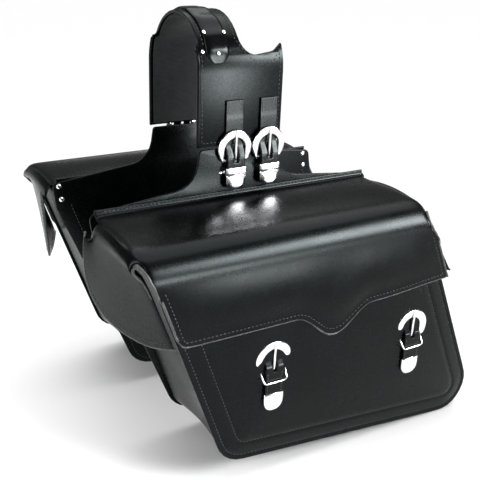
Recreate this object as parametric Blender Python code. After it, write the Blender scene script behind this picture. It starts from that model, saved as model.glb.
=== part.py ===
"""A pair of slanted leather saddlebags joined by a buckled yoke, for a motorcycle's rear fender.

Frame: +Z up, +X towards the rear wheel, the near bag at -Y and the far bag at +Y.
The origin is under the middle of the yoke, where its lining rests on the fender.
Everything is built for the near side and mirrored in Y for the far side.
"""

import math

import bmesh
import bpy
from mathutils import Matrix, Vector

MM = 0.001

# Gaps and leathers
TOUCH_GAP = 0.3 * MM            # between pieces that lie on each other
RUNNING_GAP = 0.35 * MM         # around a pin or bar that something turns on
PANEL_LEATHER = 3.5 * MM
GUSSET_LEATHER = 3.0 * MM
STRAP_LEATHER = 2.4 * MM
CHAPE_LEATHER = 1.8 * MM
FELT = 3.7 * MM
STIFFENER_BOARD = 2.5 * MM

# Yoke
YOKE_INNER_RADIUS = 62 * MM
YOKE_FRONT_X = -58 * MM
YOKE_REAR_X = 62 * MM
YOKE_BOTTOM_Z = -150 * MM
YOKE_NECK_FRONT_X = -53 * MM
YOKE_NECK_REAR_X = 2 * MM
YOKE_EAR_Z = -29 * MM
YOKE_SCALLOP_Z = -42 * MM
FELT_INSET = 3 * MM
NOTCH_RADIUS = 4 * MM
SCALLOP_DEEP_RADIUS = 22 * MM
SCALLOP_LOW_RADIUS = 12 * MM
SCALLOP_EAR_RADIUS = 14 * MM

# Bag body
BAG_TOP_LENGTH = 393 * MM
BAG_CENTRE_X = 3.5 * MM
BAG_DEPTH = 140 * MM
BAG_FRONT_HEIGHT = 291 * MM
BAG_TOP_Z = -228 * MM
FRONT_SLANT = math.radians(19.8)
REAR_SLANT = math.radians(24.2)
BOTTOM_SLOPE = math.radians(5.2)
BOTTOM_CORNER_RADIUS = 42 * MM
GUSSET_INSET = 4 * MM
FRONT_PANEL_DROP = 18 * MM      # the front panel's top edge sits this far under the bag's top
GUSSET_DROP = 14 * MM
BOARD_CLEARANCE = 2 * MM        # between the stiffener and the gusset
BOARD_DROP = 4 * MM

# Back panel's wing
WING_TOP_GAP = 3.5 * MM
WING_SHOULDER_Z = -203 * MM
WING_EAR_OVERHANG = 10 * MM
WING_FLARE_RADIUS = 34 * MM
WING_TOP_INSET = 3 * MM         # at each end of the wing's top, from the yoke's edge
WING_SHOULDER_WIDER = 4 * MM
WING_TOP_RADIUS = 4 * MM
WING_EAR_RISE = 13 * MM         # above the bag's top
WING_EAR_DROP = 22 * MM         # below the bag's top
WING_EAR_RADIUS = 9 * MM
WING_EAR_LOW_RADIUS = 12 * MM
REAR_EAR_LONGER = 6 * MM

# Lid
LID_CLEARANCE = 4.5 * MM        # between the bag and the inside of the lid
LID_SIDE_CLEARANCE = 2.5 * MM
LID_TOP_RISE = 8 * MM          # the lid's top above the bag's top
LID_AXIS_OUT = 4.9 * MM         # from the back panel's outer face to the lid's flex line
LID_BACK_OUT = 3.1 * MM
LID_FRONT_BEND = 34 * MM
LID_END_BEND = 9 * MM
HEM_Z = -334 * MM
HEM_TONGUE_Z = -368 * MM
HEM_TONGUE_X = 62 * MM
HEM_TONGUE_HALF = 58 * MM
HEM_REAR_RISE = 8 * MM
END_FLAP_RISE = 12 * MM
END_FLAP_RADIUS = 62 * MM
END_FLAP_LEAN = 6 * MM          # how far the flap's back edge slopes forwards going down
END_FLAP_START_DROP = 14 * MM
END_FLAP_BACK = 2 * MM
SLIT_WIDTH = 3 * MM
RELIEF_RADIUS = 5.5 * MM
RELIEF_SHARE_DOWN = 0.5         # the relief hole's place, as shares of the front bend
RELIEF_SHARE_BACK = 0.5

# Straps and buckles
STRAP_WIDTH = 25.4 * MM
YOKE_STRAP_X = (-8 * MM, 42 * MM)
BAG_STRAP_X = (-26 * MM, 196 * MM)
YOKE_RING_DIAMETER = 48 * MM
BAG_RING_DIAMETER = 54 * MM
RING_RISE = 38 * MM             # from the bar's middle to the ring's top
RING_OPENING_WIDTH = 30 * MM
RING_OPENING_RISE = 27 * MM
RING_THICKNESS = 2.4 * MM
BAR_RADIUS = 1.3 * MM
BAR_OUT = 3.9 * MM              # from the leather's face to the bar's middle
RING_TOP_OUT = 6.0 * MM
TAIL_OUT = 9.0 * MM
BILLET_OUT = 2.0 * MM
BILLET_BEND_RISE = 17.5 * MM    # where the strap leaves the leather and comes through the ring
TAIL_BEND_RISE = 4 * MM
PRONG_RADIUS = 1.4 * MM
SLOT_WIDTH = 4.6 * MM
BAG_TAIL_LENGTH = 36 * MM       # from the bar down to the strap's end
YOKE_TAIL_LENGTH = 22 * MM
BAG_TIP_LENGTH = 20 * MM
YOKE_TIP_LENGTH = 16 * MM
TIP_WALL = 0.8 * MM
TIP_OVERLAP = 4 * MM            # how far the strap's end goes into it
TIP_SHOULDER = 9 * MM
WIRE_RADIUS = 1.1 * MM
WIRE_DROP = 15 * MM
CHAPE_SHORTER = 7 * MM          # the chape ends this far above the strap's end
CHAPE_SEAM_DROP = 9 * MM        # its two plies meet this far below the bar
CHAPE_SLOT_HALF = 6 * MM
SLOT_OVERRUN = 2 * MM           # past the bar below and past the bend above
PRONG_EYE_WALL = 1.4 * MM
PRONG_ROOT_OUT = 1.3 * MM       # where the shaft starts, from the bar's middle
PRONG_ROOT_RISE = 1.6 * MM
PRONG_TIP_DROP = 2 * MM         # its end is this far below the ring's top
KEEPER_HEIGHT = 8 * MM
KEEPER_WALL = 1.4 * MM
KEEPER_DROP = 9 * MM
KEEPER_SIDE_GAP = 0.8 * MM
KEEPER_FRONT_GAP = 0.5 * MM
YOKE_FLEX_Z = -115 * MM
YOKE_BAR_Z = -169 * MM
PATCH_TOP_Z = -94 * MM
BAG_RING_TOP_Z = (-358 * MM, -366 * MM)
BAG_FLEX_DROP = 4 * MM          # below the hem
CUTTER_REACH = 30 * MM          # how far cutters run past what they cut

# Places worked out from the sizes above
FELT_OUTER_RADIUS = YOKE_INNER_RADIUS + FELT
YOKE_LEATHER_RADIUS = FELT_OUTER_RADIUS + TOUCH_GAP
BACK_OUTER_Y = -(YOKE_LEATHER_RADIUS + PANEL_LEATHER)
BACK_INNER_Y = -YOKE_LEATHER_RADIUS
FRONT_OUTER_Y = BACK_INNER_Y - BAG_DEPTH
FRONT_INNER_Y = FRONT_OUTER_Y + PANEL_LEATHER
BAG_FRONT_X = BAG_CENTRE_X - BAG_TOP_LENGTH / 2
BAG_REAR_X = BAG_CENTRE_X + BAG_TOP_LENGTH / 2
BAG_BOTTOM_Z = BAG_TOP_Z - BAG_FRONT_HEIGHT
BOTTOM_FRONT_X = BAG_FRONT_X + BAG_FRONT_HEIGHT * math.tan(FRONT_SLANT)
LID_TOP_Z = BAG_TOP_Z + LID_TOP_RISE
LID_AXIS_Y = BACK_OUTER_Y - LID_AXIS_OUT
LID_AXIS_Z = LID_TOP_Z - PANEL_LEATHER / 2
LID_FRONT_Y = FRONT_OUTER_Y - LID_CLEARANCE - PANEL_LEATHER
YOKE_FLEX_Y = BACK_OUTER_Y - BILLET_OUT

COLLECTION = "slant_saddlebag_pair"


# ---------------------------------------------------------------- scene helpers

def clear_scene():
    """Remove every object and make the two collections."""
    for obj in list(bpy.data.objects):
        bpy.data.objects.remove(obj, do_unlink=True)
    made = {}
    for name in (COLLECTION, "cutters"):
        made[name] = bpy.data.collections.new(name)
        bpy.context.scene.collection.children.link(made[name])
    return made[COLLECTION], made["cutters"]


def material(name, colour, roughness, metallic=0.0):
    """A plain Principled material."""
    mat = bpy.data.materials.new(name)
    mat.use_nodes = True
    shader = mat.node_tree.nodes["Principled BSDF"]
    shader.inputs["Base Color"].default_value = (*colour, 1.0)
    shader.inputs["Roughness"].default_value = roughness
    shader.inputs["Metallic"].default_value = metallic
    mat.diffuse_color = (*colour, 1.0)
    return mat


def object_from_mesh(name, mesh):
    """Link a mesh into the parts' collection under its own name."""
    obj = bpy.data.objects.new(name, mesh)
    PARTS.objects.link(obj)
    return obj


def solid_from_curve(name, curve, matrix=None):
    """Turn a curve into a closed mesh object in world space."""
    holder = bpy.data.objects.new(name + "_curve", curve)
    PARTS.objects.link(holder)
    if matrix is not None:
        holder.matrix_world = matrix
    bpy.context.view_layer.update()
    evaluated = holder.evaluated_get(bpy.context.evaluated_depsgraph_get())
    mesh = bpy.data.meshes.new_from_object(evaluated)
    mesh.transform(holder.matrix_world)
    bpy.data.objects.remove(holder, do_unlink=True)
    bpy.data.curves.remove(curve)
    weld_and_face_out(mesh)
    return object_from_mesh(name, mesh)


def weld_and_face_out(mesh):
    """Weld loose caps and point all the faces outwards."""
    shape = bmesh.new()
    shape.from_mesh(mesh)
    bmesh.ops.remove_doubles(shape, verts=shape.verts, dist=1e-6)
    bmesh.ops.recalc_face_normals(shape, faces=shape.faces)
    shape.to_mesh(mesh)
    shape.free()


def plate(name, outlines, low, high, plane="XZ"):
    """A flat solid from closed outlines; the later outlines are holes in the first.

    In plane XZ the thickness runs along Y, in YZ along X and in XY along Z.
    """
    curve = bpy.data.curves.new(name, "CURVE")
    curve.dimensions = "2D"
    curve.fill_mode = "BOTH"
    curve.extrude = (high - low) / 2
    for outline in outlines:
        spline = curve.splines.new("POLY")
        spline.points.add(len(outline) - 1)
        for point, (across, up) in zip(spline.points, outline):
            point.co = (across, up, 0.0, 1.0)
        spline.use_cyclic_u = True
    middle = (low + high) / 2
    turns = {
        "XZ": Matrix(((1, 0, 0, 0), (0, 0, -1, middle), (0, 1, 0, 0), (0, 0, 0, 1))),
        "YZ": Matrix(((0, 0, 1, middle), (1, 0, 0, 0), (0, 1, 0, 0), (0, 0, 0, 1))),
        "XY": Matrix.Translation((0, 0, middle)),
    }
    return solid_from_curve(name, curve, turns[plane])


def tube(name, points, radius, sides=2):
    """A round wire along straight runs between points, with closed ends."""
    curve = bpy.data.curves.new(name, "CURVE")
    curve.dimensions = "3D"
    curve.bevel_depth = radius
    curve.bevel_resolution = sides
    curve.use_fill_caps = True
    spline = curve.splines.new("POLY")
    spline.points.add(len(points) - 1)
    for point, place in zip(spline.points, points):
        point.co = (*place, 1.0)
    return solid_from_curve(name, curve)


def rod(name, start, end, radius, sides=16):
    """A straight cylinder between two points."""
    start, end = Vector(start), Vector(end)
    shape = bmesh.new()
    bmesh.ops.create_cone(
        shape, cap_ends=True, segments=sides, radius1=radius, radius2=radius,
        depth=(end - start).length)
    turn = (end - start).to_track_quat("Z", "Y").to_matrix().to_4x4()
    shape.transform(Matrix.Translation((start + end) / 2) @ turn)
    mesh = bpy.data.meshes.new(name)
    shape.to_mesh(mesh)
    shape.free()
    return object_from_mesh(name, mesh)


def block(name, low, high):
    """A box between two corners."""
    low, high = Vector(low), Vector(high)
    shape = bmesh.new()
    bmesh.ops.create_cube(shape, size=1.0)
    shape.transform(Matrix.Translation((low + high) / 2) @ Matrix.Diagonal((*(high - low), 1)))
    mesh = bpy.data.meshes.new(name)
    shape.to_mesh(mesh)
    shape.free()
    return object_from_mesh(name, mesh)


def combine(obj, other, operation):
    """Cut, join or trim obj with other by an exact boolean, and use other up."""
    PARTS.objects.unlink(other)
    CUTTERS.objects.link(other)
    other.hide_render = True
    other.display_type = "WIRE"
    step = obj.modifiers.new(operation.lower(), "BOOLEAN")
    step.operation = operation
    step.object = other
    step.solver = "EXACT"
    bpy.context.view_layer.update()
    evaluated = obj.evaluated_get(bpy.context.evaluated_depsgraph_get())
    mesh = bpy.data.meshes.new_from_object(evaluated)
    obj.modifiers.clear()
    old = obj.data
    obj.data = mesh
    bpy.data.meshes.remove(old)
    bpy.data.objects.remove(other, do_unlink=True)
    return obj


def cut(obj, other):
    """Take other away from obj."""
    return combine(obj, other, "DIFFERENCE")


def join(obj, other):
    """Make obj and other one solid."""
    return combine(obj, other, "UNION")


def bevel_edges(obj, radius, segments, chosen):
    """Round the edges whose two ends satisfy chosen(point, point)."""
    shape = bmesh.new()
    shape.from_mesh(obj.data)
    edges = [edge for edge in shape.edges if chosen(edge.verts[0].co, edge.verts[1].co)]
    bmesh.ops.bevel(
        shape, geom=edges, offset=radius, segments=segments, profile=0.5,
        affect="EDGES", clamp_overlap=True)
    shape.to_mesh(obj.data)
    shape.free()
    return obj


# ---------------------------------------------------------------- outline helpers

def rounded(corners, steps=5):
    """An outline from (across, up, radius) corners, each rounded by an arc."""
    outline = []
    count = len(corners)
    for index, (across, up, radius) in enumerate(corners):
        here = Vector((across, up))
        before = Vector(corners[index - 1][:2]) - here
        after = Vector(corners[(index + 1) % count][:2]) - here
        if radius <= 0:
            outline.append(tuple(here))
            continue
        before.normalize()
        after.normalize()
        half = before.angle(after) / 2
        centre = here + (before + after).normalized() * (radius / math.sin(half))
        start = here + before * (radius / math.tan(half)) - centre
        end = here + after * (radius / math.tan(half)) - centre
        sweep = start.angle_signed(end)
        for step in range(steps + 1):
            turn = -sweep * step / steps
            outline.append((
                centre.x + start.x * math.cos(turn) - start.y * math.sin(turn),
                centre.y + start.x * math.sin(turn) + start.y * math.cos(turn)))
    return outline


def front_edge_x(z, inset=0.0):
    """Where the bag's slanted front edge is at height z."""
    return BAG_FRONT_X + (BAG_TOP_Z - z) * math.tan(FRONT_SLANT) + inset / math.cos(FRONT_SLANT)


def rear_edge_x(z, inset=0.0):
    """Where the bag's slanted rear edge is at height z."""
    return BAG_REAR_X + (BAG_TOP_Z - z) * math.tan(REAR_SLANT) - inset / math.cos(REAR_SLANT)


def bottom_corners(inset=0.0):
    """The front and rear bottom corners of the bag's outline, moved in by inset."""
    lift = inset / math.cos(BOTTOM_SLOPE)
    fall = math.tan(BOTTOM_SLOPE)

    def meet(edge_at, slope):
        # the slanted edge crosses the bottom line z = bottom + lift - fall * (x - start)
        z = BAG_BOTTOM_Z
        x = edge_at(z, inset)
        step = (BAG_BOTTOM_Z + lift - fall * (x - BOTTOM_FRONT_X) - z) / (1 - fall * slope)
        return edge_at(z + step, inset), z + step

    return meet(front_edge_x, math.tan(FRONT_SLANT)), meet(rear_edge_x, math.tan(REAR_SLANT))


def bag_outline(top_z, inset=0.0, steps=6):
    """The bag's side outline with round bottom corners, seen along Y."""
    front, rear = bottom_corners(inset)
    radius = max(BOTTOM_CORNER_RADIUS - inset, 4 * MM)
    return rounded([
        (front_edge_x(top_z, inset), top_z, 0),
        (*front, radius),
        (*rear, radius),
        (rear_edge_x(top_z, inset), top_z, 0)], steps)


def strap_profile(path, thickness):
    """The closed side outline of a strap of one thickness along a path of (y, z) points."""
    one_side, other_side = [], []
    for index, point in enumerate(path):
        here = Vector(point)
        before = Vector(path[max(index - 1, 0)])
        after = Vector(path[min(index + 1, len(path) - 1)])
        run_in = (here - before).normalized() if index else (after - here).normalized()
        run_out = (after - here).normalized() if index < len(path) - 1 else run_in
        side = Vector((-(run_in + run_out).y, (run_in + run_out).x)).normalized()
        reach = thickness / 2 / max(side.dot(Vector((-run_in.y, run_in.x))), 0.5)
        one_side.append(tuple(here + side * reach))
        other_side.append(tuple(here - side * reach))
    return one_side + other_side[::-1]


def arc_points(centre, radius, start, end, steps):
    """Points on an arc in (y, z), from one angle to another in degrees."""
    points = []
    for step in range(steps + 1):
        angle = math.radians(start + (end - start) * step / steps)
        points.append((centre[0] + radius * math.cos(angle), centre[1] + radius * math.sin(angle)))
    return points


# ---------------------------------------------------------------- yoke

def arch_outline(inner_radius, thickness, bottom_z, steps=20):
    """An upturned U in (y, z) of one thickness, its inside radius centred under the origin."""
    centre = (0.0, -YOKE_INNER_RADIUS)
    outer_radius = inner_radius + thickness
    outer = [(outer_radius, bottom_z)] + arc_points(centre, outer_radius, 0, 180, steps)
    outer.append((-outer_radius, bottom_z))
    inner = [(-inner_radius, bottom_z)] + arc_points(centre, inner_radius, 180, 0, steps)
    inner.append((inner_radius, bottom_z))
    return outer + inner


def yoke_neck_cutters(inset):
    """The two cut-outs that leave the narrow neck over the fender."""
    high = CUTTER_REACH
    wide = BAG_DEPTH
    out = YOKE_REAR_X + CUTTER_REACH
    neck = YOKE_NECK_REAR_X - inset
    scallop = [
        (neck, high, 0), (neck, YOKE_SCALLOP_Z + 4 * MM - inset, SCALLOP_DEEP_RADIUS),
        (neck + SCALLOP_DEEP_RADIUS, YOKE_SCALLOP_Z - inset, SCALLOP_LOW_RADIUS),
        (YOKE_REAR_X - 12 * MM, YOKE_SCALLOP_Z + 3 * MM - inset, SCALLOP_EAR_RADIUS),
        (YOKE_REAR_X + 6 * MM, YOKE_EAR_Z + 3 * MM - inset, 0), (out, YOKE_EAR_Z - inset, 0),
        (out, high, 0)]
    front = YOKE_NECK_FRONT_X + inset
    notch = [
        (front, high, 0), (YOKE_FRONT_X - CUTTER_REACH, high, 0),
        (YOKE_FRONT_X - CUTTER_REACH, YOKE_EAR_Z - inset, 0),
        (front, YOKE_EAR_Z - inset, NOTCH_RADIUS)]
    return (
        plate("rear_scallop", [rounded(scallop)], -wide, wide),
        plate("front_notch", [rounded(notch, 3)], -wide, wide))


def make_yoke():
    """The leather saddle over the fender and its felt lining."""
    leather = plate(
        "yoke_leather",
        [arch_outline(YOKE_LEATHER_RADIUS, PANEL_LEATHER, YOKE_BOTTOM_Z)],
        YOKE_FRONT_X, YOKE_REAR_X, "YZ")
    for cutter in yoke_neck_cutters(0.0):
        cut(leather, cutter)
    felt = plate(
        "yoke_felt", [arch_outline(YOKE_INNER_RADIUS, FELT, YOKE_BOTTOM_Z + FELT_INSET)],
        YOKE_FRONT_X + FELT_INSET, YOKE_REAR_X - FELT_INSET, "YZ")
    for cutter in yoke_neck_cutters(FELT_INSET):
        cut(felt, cutter)
    finish(leather, "leather")
    finish(felt, "lining")


# ---------------------------------------------------------------- bag panels

def back_panel_outline():
    """The back panel with its wing reaching up to the yoke."""
    front, rear = bottom_corners()
    wing_top = YOKE_BOTTOM_Z - WING_TOP_GAP
    shoulder_z = WING_SHOULDER_Z + WING_SHOULDER_WIDER
    flare = WING_FLARE_RADIUS
    ear = WING_EAR_OVERHANG
    ear_z = BAG_TOP_Z + WING_EAR_RISE
    ear_low_z = BAG_TOP_Z - WING_EAR_DROP
    return rounded([
        (YOKE_FRONT_X + WING_TOP_INSET, wing_top, WING_TOP_RADIUS),
        (YOKE_FRONT_X - WING_SHOULDER_WIDER, shoulder_z, flare),
        (BAG_FRONT_X - ear, ear_z, WING_EAR_RADIUS),
        (BAG_FRONT_X - ear / 2, ear_low_z, WING_EAR_LOW_RADIUS),
        (*front, BOTTOM_CORNER_RADIUS),
        (*rear, BOTTOM_CORNER_RADIUS),
        (BAG_REAR_X + ear + REAR_EAR_LONGER, ear_low_z, WING_EAR_LOW_RADIUS),
        (BAG_REAR_X + ear, ear_z, WING_EAR_RADIUS),
        (YOKE_REAR_X + WING_SHOULDER_WIDER, shoulder_z, flare),
        (YOKE_REAR_X - WING_TOP_INSET, wing_top, WING_TOP_RADIUS)], 5)


def make_bag_body():
    """Back panel, stiffener, gusset and front panel of the near bag."""
    back = plate("near_back_panel", [back_panel_outline()], BACK_OUTER_Y, BACK_INNER_Y)
    gusset_back = BACK_OUTER_Y - TOUCH_GAP
    gusset_front = FRONT_INNER_Y + TOUCH_GAP
    gusset_top = BAG_TOP_Z - GUSSET_DROP
    gusset = plate(
        "near_gusset", [bag_outline(gusset_top, GUSSET_INSET)], gusset_front, gusset_back)
    cut(gusset, plate(
        "gusset_inside",
        [bag_outline(BAG_TOP_Z + CUTTER_REACH, GUSSET_INSET + GUSSET_LEATHER)],
        gusset_front - 5 * MM, gusset_back + 5 * MM))
    front = plate(
        "near_front_panel", [bag_outline(BAG_TOP_Z - FRONT_PANEL_DROP)],
        FRONT_OUTER_Y, FRONT_INNER_Y)
    board_inset = GUSSET_INSET + GUSSET_LEATHER + BOARD_CLEARANCE
    board = plate(
        "near_back_stiffener", [bag_outline(gusset_top - BOARD_DROP, board_inset)],
        gusset_back - STIFFENER_BOARD, gusset_back)
    finish(back, "leather")
    finish(gusset, "leather")
    finish(front, "leather")
    finish(board, "board")


# ---------------------------------------------------------------- lid

def lid_block(name, inset, back_y, bottom_z):
    """A block with the lid's bends; inset leaves the leather's thickness around it."""
    side = LID_SIDE_CLEARANCE + PANEL_LEATHER - inset
    top_z = LID_TOP_Z - inset
    front_y = LID_FRONT_Y + inset
    front_x = BAG_FRONT_X - side
    outline = [
        (front_x, top_z), (front_x, bottom_z),
        (rear_edge_x(bottom_z) + side, bottom_z), (rear_edge_x(top_z) + side, top_z)]
    shape = plate(name, [outline], front_y, back_y)
    near = 0.1 * MM

    def top_front(one, two):
        return all(abs(p.y - front_y) < near and abs(p.z - top_z) < near for p in (one, two))

    bevel_edges(shape, LID_FRONT_BEND - inset, 6, top_front)

    def top_end(one, two):
        level = abs(one.z - top_z) < near and abs(two.z - top_z) < near
        return level and abs(one.x - two.x) < near and abs(one.y - two.y) > 20 * MM

    bevel_edges(shape, LID_END_BEND - inset, 3, top_end)
    return shape


def hem_cutter():
    """What is cut away below the lid's hem, with its middle tongue, seen along Y."""
    far = 60 * MM
    steps = 16
    wave = []
    for step in range(steps + 1):
        share = step / steps
        x = HEM_TONGUE_X + HEM_TONGUE_HALF * (2 * share - 1)
        dip = (1 - math.cos(2 * math.pi * share)) / 2
        wave.append((x, HEM_Z + (HEM_TONGUE_Z - HEM_Z) * dip))
    left = BAG_FRONT_X - far
    right = rear_edge_x(HEM_Z) + far
    low = HEM_TONGUE_Z - far * 2
    outline = [(left, HEM_Z)] + wave + [(right, HEM_Z + HEM_REAR_RISE), (right, low), (left, low)]
    return plate("below_hem", [outline], LID_FRONT_Y - 5 * MM, LID_FRONT_Y + LID_FRONT_BEND)


def end_flap_cutter():
    """What is cut away around the lid's round end flaps, seen along X."""
    back_y = BACK_OUTER_Y + 10 * MM
    flap_back = LID_AXIS_Y - END_FLAP_BACK
    start_z = LID_AXIS_Z - END_FLAP_START_DROP
    flap_low = HEM_Z + END_FLAP_RISE
    front_y = LID_FRONT_Y + PANEL_LEATHER
    outline = rounded([
        (flap_back, start_z, 0),
        (flap_back - END_FLAP_LEAN, flap_low, END_FLAP_RADIUS),
        (front_y + 0.1 * MM, flap_low - END_FLAP_RISE / 2, 0),
        (front_y + 0.1 * MM, HEM_TONGUE_Z - 80 * MM, 0),
        (back_y, HEM_TONGUE_Z - 80 * MM, 0),
        (back_y, start_z, 0)], 8)
    return plate("around_flaps", [outline], BAG_FRONT_X - 60 * MM, BAG_REAR_X + 160 * MM, "YZ")


def make_lid():
    """The lid: a top, a front flap and two end flaps cut from one bent sheet."""
    bottom_z = HEM_TONGUE_Z - 40 * MM
    back_y = BACK_OUTER_Y - LID_BACK_OUT
    lid = lid_block("near_lid", 0.0, back_y, bottom_z)
    inside = lid_block(
        "lid_inside", PANEL_LEATHER, back_y + CUTTER_REACH, bottom_z - CUTTER_REACH)
    cut(lid, inside)
    cut(lid, hem_cutter())
    cut(lid, end_flap_cutter())
    cut(lid, front_slant_cutter())
    for slit in slit_cutters():
        cut(lid, slit)
    finish(lid, "leather")


def front_slant_cutter():
    """A wedge that trims the front flap back to the bag's slanted front edge."""
    slit_y = LID_FRONT_Y + LID_FRONT_BEND * RELIEF_SHARE_BACK
    start_z = LID_TOP_Z - LID_FRONT_BEND
    side = LID_SIDE_CLEARANCE + PANEL_LEATHER
    low_z = HEM_TONGUE_Z - 60 * MM
    outline = [
        (BAG_FRONT_X - side - 20 * MM, start_z),
        (front_edge_x(start_z) - side, start_z),
        (front_edge_x(low_z) - side, low_z),
        (BAG_FRONT_X - side - 20 * MM, low_z)]
    return plate("front_slant", [outline], LID_FRONT_Y - 5 * MM, slit_y - SLIT_WIDTH)


def slit_cutters():
    """The slits between the front flap and the end flaps, each ending in a round hole."""
    top_z = LID_TOP_Z - LID_FRONT_BEND * RELIEF_SHARE_DOWN
    low_z = HEM_TONGUE_Z - 60 * MM
    middle_y = LID_FRONT_Y + LID_FRONT_BEND * RELIEF_SHARE_BACK - SLIT_WIDTH / 2
    far = 12 * MM
    for end_x in (BAG_FRONT_X - LID_SIDE_CLEARANCE, BAG_REAR_X + LID_SIDE_CLEARANCE):
        rear = end_x > BAG_CENTRE_X
        reach = (rear_edge_x(low_z) - BAG_REAR_X) if rear else 0.0
        yield block(
            "slit", (end_x - far, middle_y - SLIT_WIDTH / 2, low_z),
            (end_x + far + reach, middle_y + SLIT_WIDTH / 2, top_z))
        yield rod(
            "relief_hole", (end_x - far, middle_y, top_z), (end_x + far, middle_y, top_z),
            RELIEF_RADIUS, 12)


# ---------------------------------------------------------------- straps and buckles

class Buckle:
    """One strap with its buckle on a vertical leather face of the near side.

    face_y is the leather's outer face, bar_z the height of the buckle's bar, and flex_z the
    height at which the strap leaves what it is sewn to.
    """

    def __init__(self, prefix, middle_x, bar_z, flex_z, diameter, wire):
        self.prefix = prefix
        self.x = middle_x
        self.bar_z = bar_z
        self.flex_z = flex_z
        self.diameter = diameter
        self.wire = wire
        self.face_y = FRONT_OUTER_Y if wire else BACK_OUTER_Y
        self.tail = BAG_TAIL_LENGTH if wire else YOKE_TAIL_LENGTH
        self.tip_length = BAG_TIP_LENGTH if wire else YOKE_TIP_LENGTH

    def out(self, distance):
        """The y of a point this far out from the leather's face."""
        return self.face_y - distance

    def place(self, distance, rise):
        """A (y, z) point this far out from the face and this far above the bar."""
        return self.out(distance), self.bar_z + rise

    def across(self, name, outline, width):
        """A solid of a side outline, as wide as given, centred on the strap."""
        return plate(name, [outline], self.x - width / 2, self.x + width / 2, "YZ")

    def slot(self, low, high, depth_low, depth_high):
        """The cutter of the slot that the prong moves in."""
        return block(
            "slot", (self.x - SLOT_WIDTH / 2, self.out(depth_high), self.bar_z + low),
            (self.x + SLOT_WIDTH / 2, self.out(depth_low), self.bar_z + high))

    def make_billet(self):
        """The strap, from its flex line down under the ring and out over the bar."""
        path = [
            (self.out(BILLET_OUT), self.flex_z),
            self.place(BILLET_OUT, BILLET_BEND_RISE),
            self.place(TAIL_OUT, TAIL_BEND_RISE),
            self.place(TAIL_OUT, -self.tail)]
        billet = self.across(
            self.prefix + "_billet", strap_profile(path, STRAP_LEATHER), STRAP_WIDTH)
        round_end = rod(
            "flex", (self.x - STRAP_WIDTH / 2, self.out(BILLET_OUT), self.flex_z),
            (self.x + STRAP_WIDTH / 2, self.out(BILLET_OUT), self.flex_z),
            STRAP_LEATHER / 2 * 0.999, 16)
        join(billet, round_end)
        cut(billet, self.slot(
            -SLOT_OVERRUN, BILLET_BEND_RISE + SLOT_OVERRUN, -SLOT_OVERRUN, 2 * TAIL_OUT))
        finish(billet, "leather")

    def make_tip(self):
        """The metal spade tip, with a pocket for the strap's end."""
        half = STRAP_WIDTH / 2 + TOUCH_GAP + TIP_WALL
        top = self.bar_z - self.tail + TIP_OVERLAP
        shoulder = top - TIP_SHOULDER
        low = self.bar_z - self.tail - self.tip_length
        side = [(half, top), (half, shoulder)]
        curve = [
            (half * math.cos(angle) ** 0.8, shoulder - (shoulder - low) * math.sin(angle))
            for angle in (math.radians(step * 18) for step in range(1, 5))]
        right = [(self.x + across, up) for across, up in side + curve]
        left = [(self.x - across, up) for across, up in (side + curve)[::-1]]
        thick = STRAP_LEATHER / 2 + TOUCH_GAP + TIP_WALL
        tip = plate(
            self.prefix + "_tip", [right + [(self.x, low)] + left],
            self.out(TAIL_OUT + thick), self.out(TAIL_OUT - thick))
        pocket_thick = STRAP_LEATHER / 2 + TOUCH_GAP
        cut(tip, block(
            "pocket",
            (self.x - STRAP_WIDTH / 2 - TOUCH_GAP, self.out(TAIL_OUT + pocket_thick),
             self.bar_z - self.tail - TOUCH_GAP),
            (self.x + STRAP_WIDTH / 2 + TOUCH_GAP, self.out(TAIL_OUT - pocket_thick),
             top + 2 * MM)))
        finish(tip, "chrome")

    def make_chape(self):
        """The short strap folded round the bar, its ends sewn together below."""
        loop = BAR_RADIUS + RUNNING_GAP + CHAPE_LEATHER / 2
        centre = self.place(BAR_OUT, 0)
        inner = loop - CHAPE_LEATHER / 2
        outer = loop + CHAPE_LEATHER / 2
        low = self.bar_z - self.tail + CHAPE_SHORTER
        outside = arc_points(centre, outer, 0, 180, 8)
        inside = arc_points(centre, inner, 180, 0, 8)
        outline = [(outside[0][0], low)] + outside + [(outside[-1][0], low)]
        chape = self.across(self.prefix + "_chape", outline, STRAP_WIDTH)
        seam = self.bar_z - CHAPE_SEAM_DROP
        hollow = [(inside[-1][0], seam)] + inside[::-1] + [(inside[0][0], seam)]
        cut(chape, self.across("hollow", hollow, STRAP_WIDTH * 1.2))
        cut(chape, self.slot(
            -CHAPE_SLOT_HALF, CHAPE_SLOT_HALF, -SLOT_OVERRUN, 2 * TAIL_OUT))
        finish(chape, "leather")

    def ring_outlines(self):
        """The ring's outer outline and its opening, in (x, rise) about the bar's middle."""
        radius = self.diameter / 2
        centre_rise = RING_RISE - radius
        low = -BAR_RADIUS
        start = math.degrees(math.asin((low - centre_rise) / radius))
        outer = arc_points((0.0, centre_rise), radius, start, 180 - start, 22)
        half = RING_OPENING_WIDTH / 2
        straight = RING_OPENING_RISE - half
        opening = [(half, low - 1 * MM)] + arc_points((0.0, straight), half, 0, 180, 12)
        opening.append((-half, low - 1 * MM))
        return outer, opening

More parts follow.
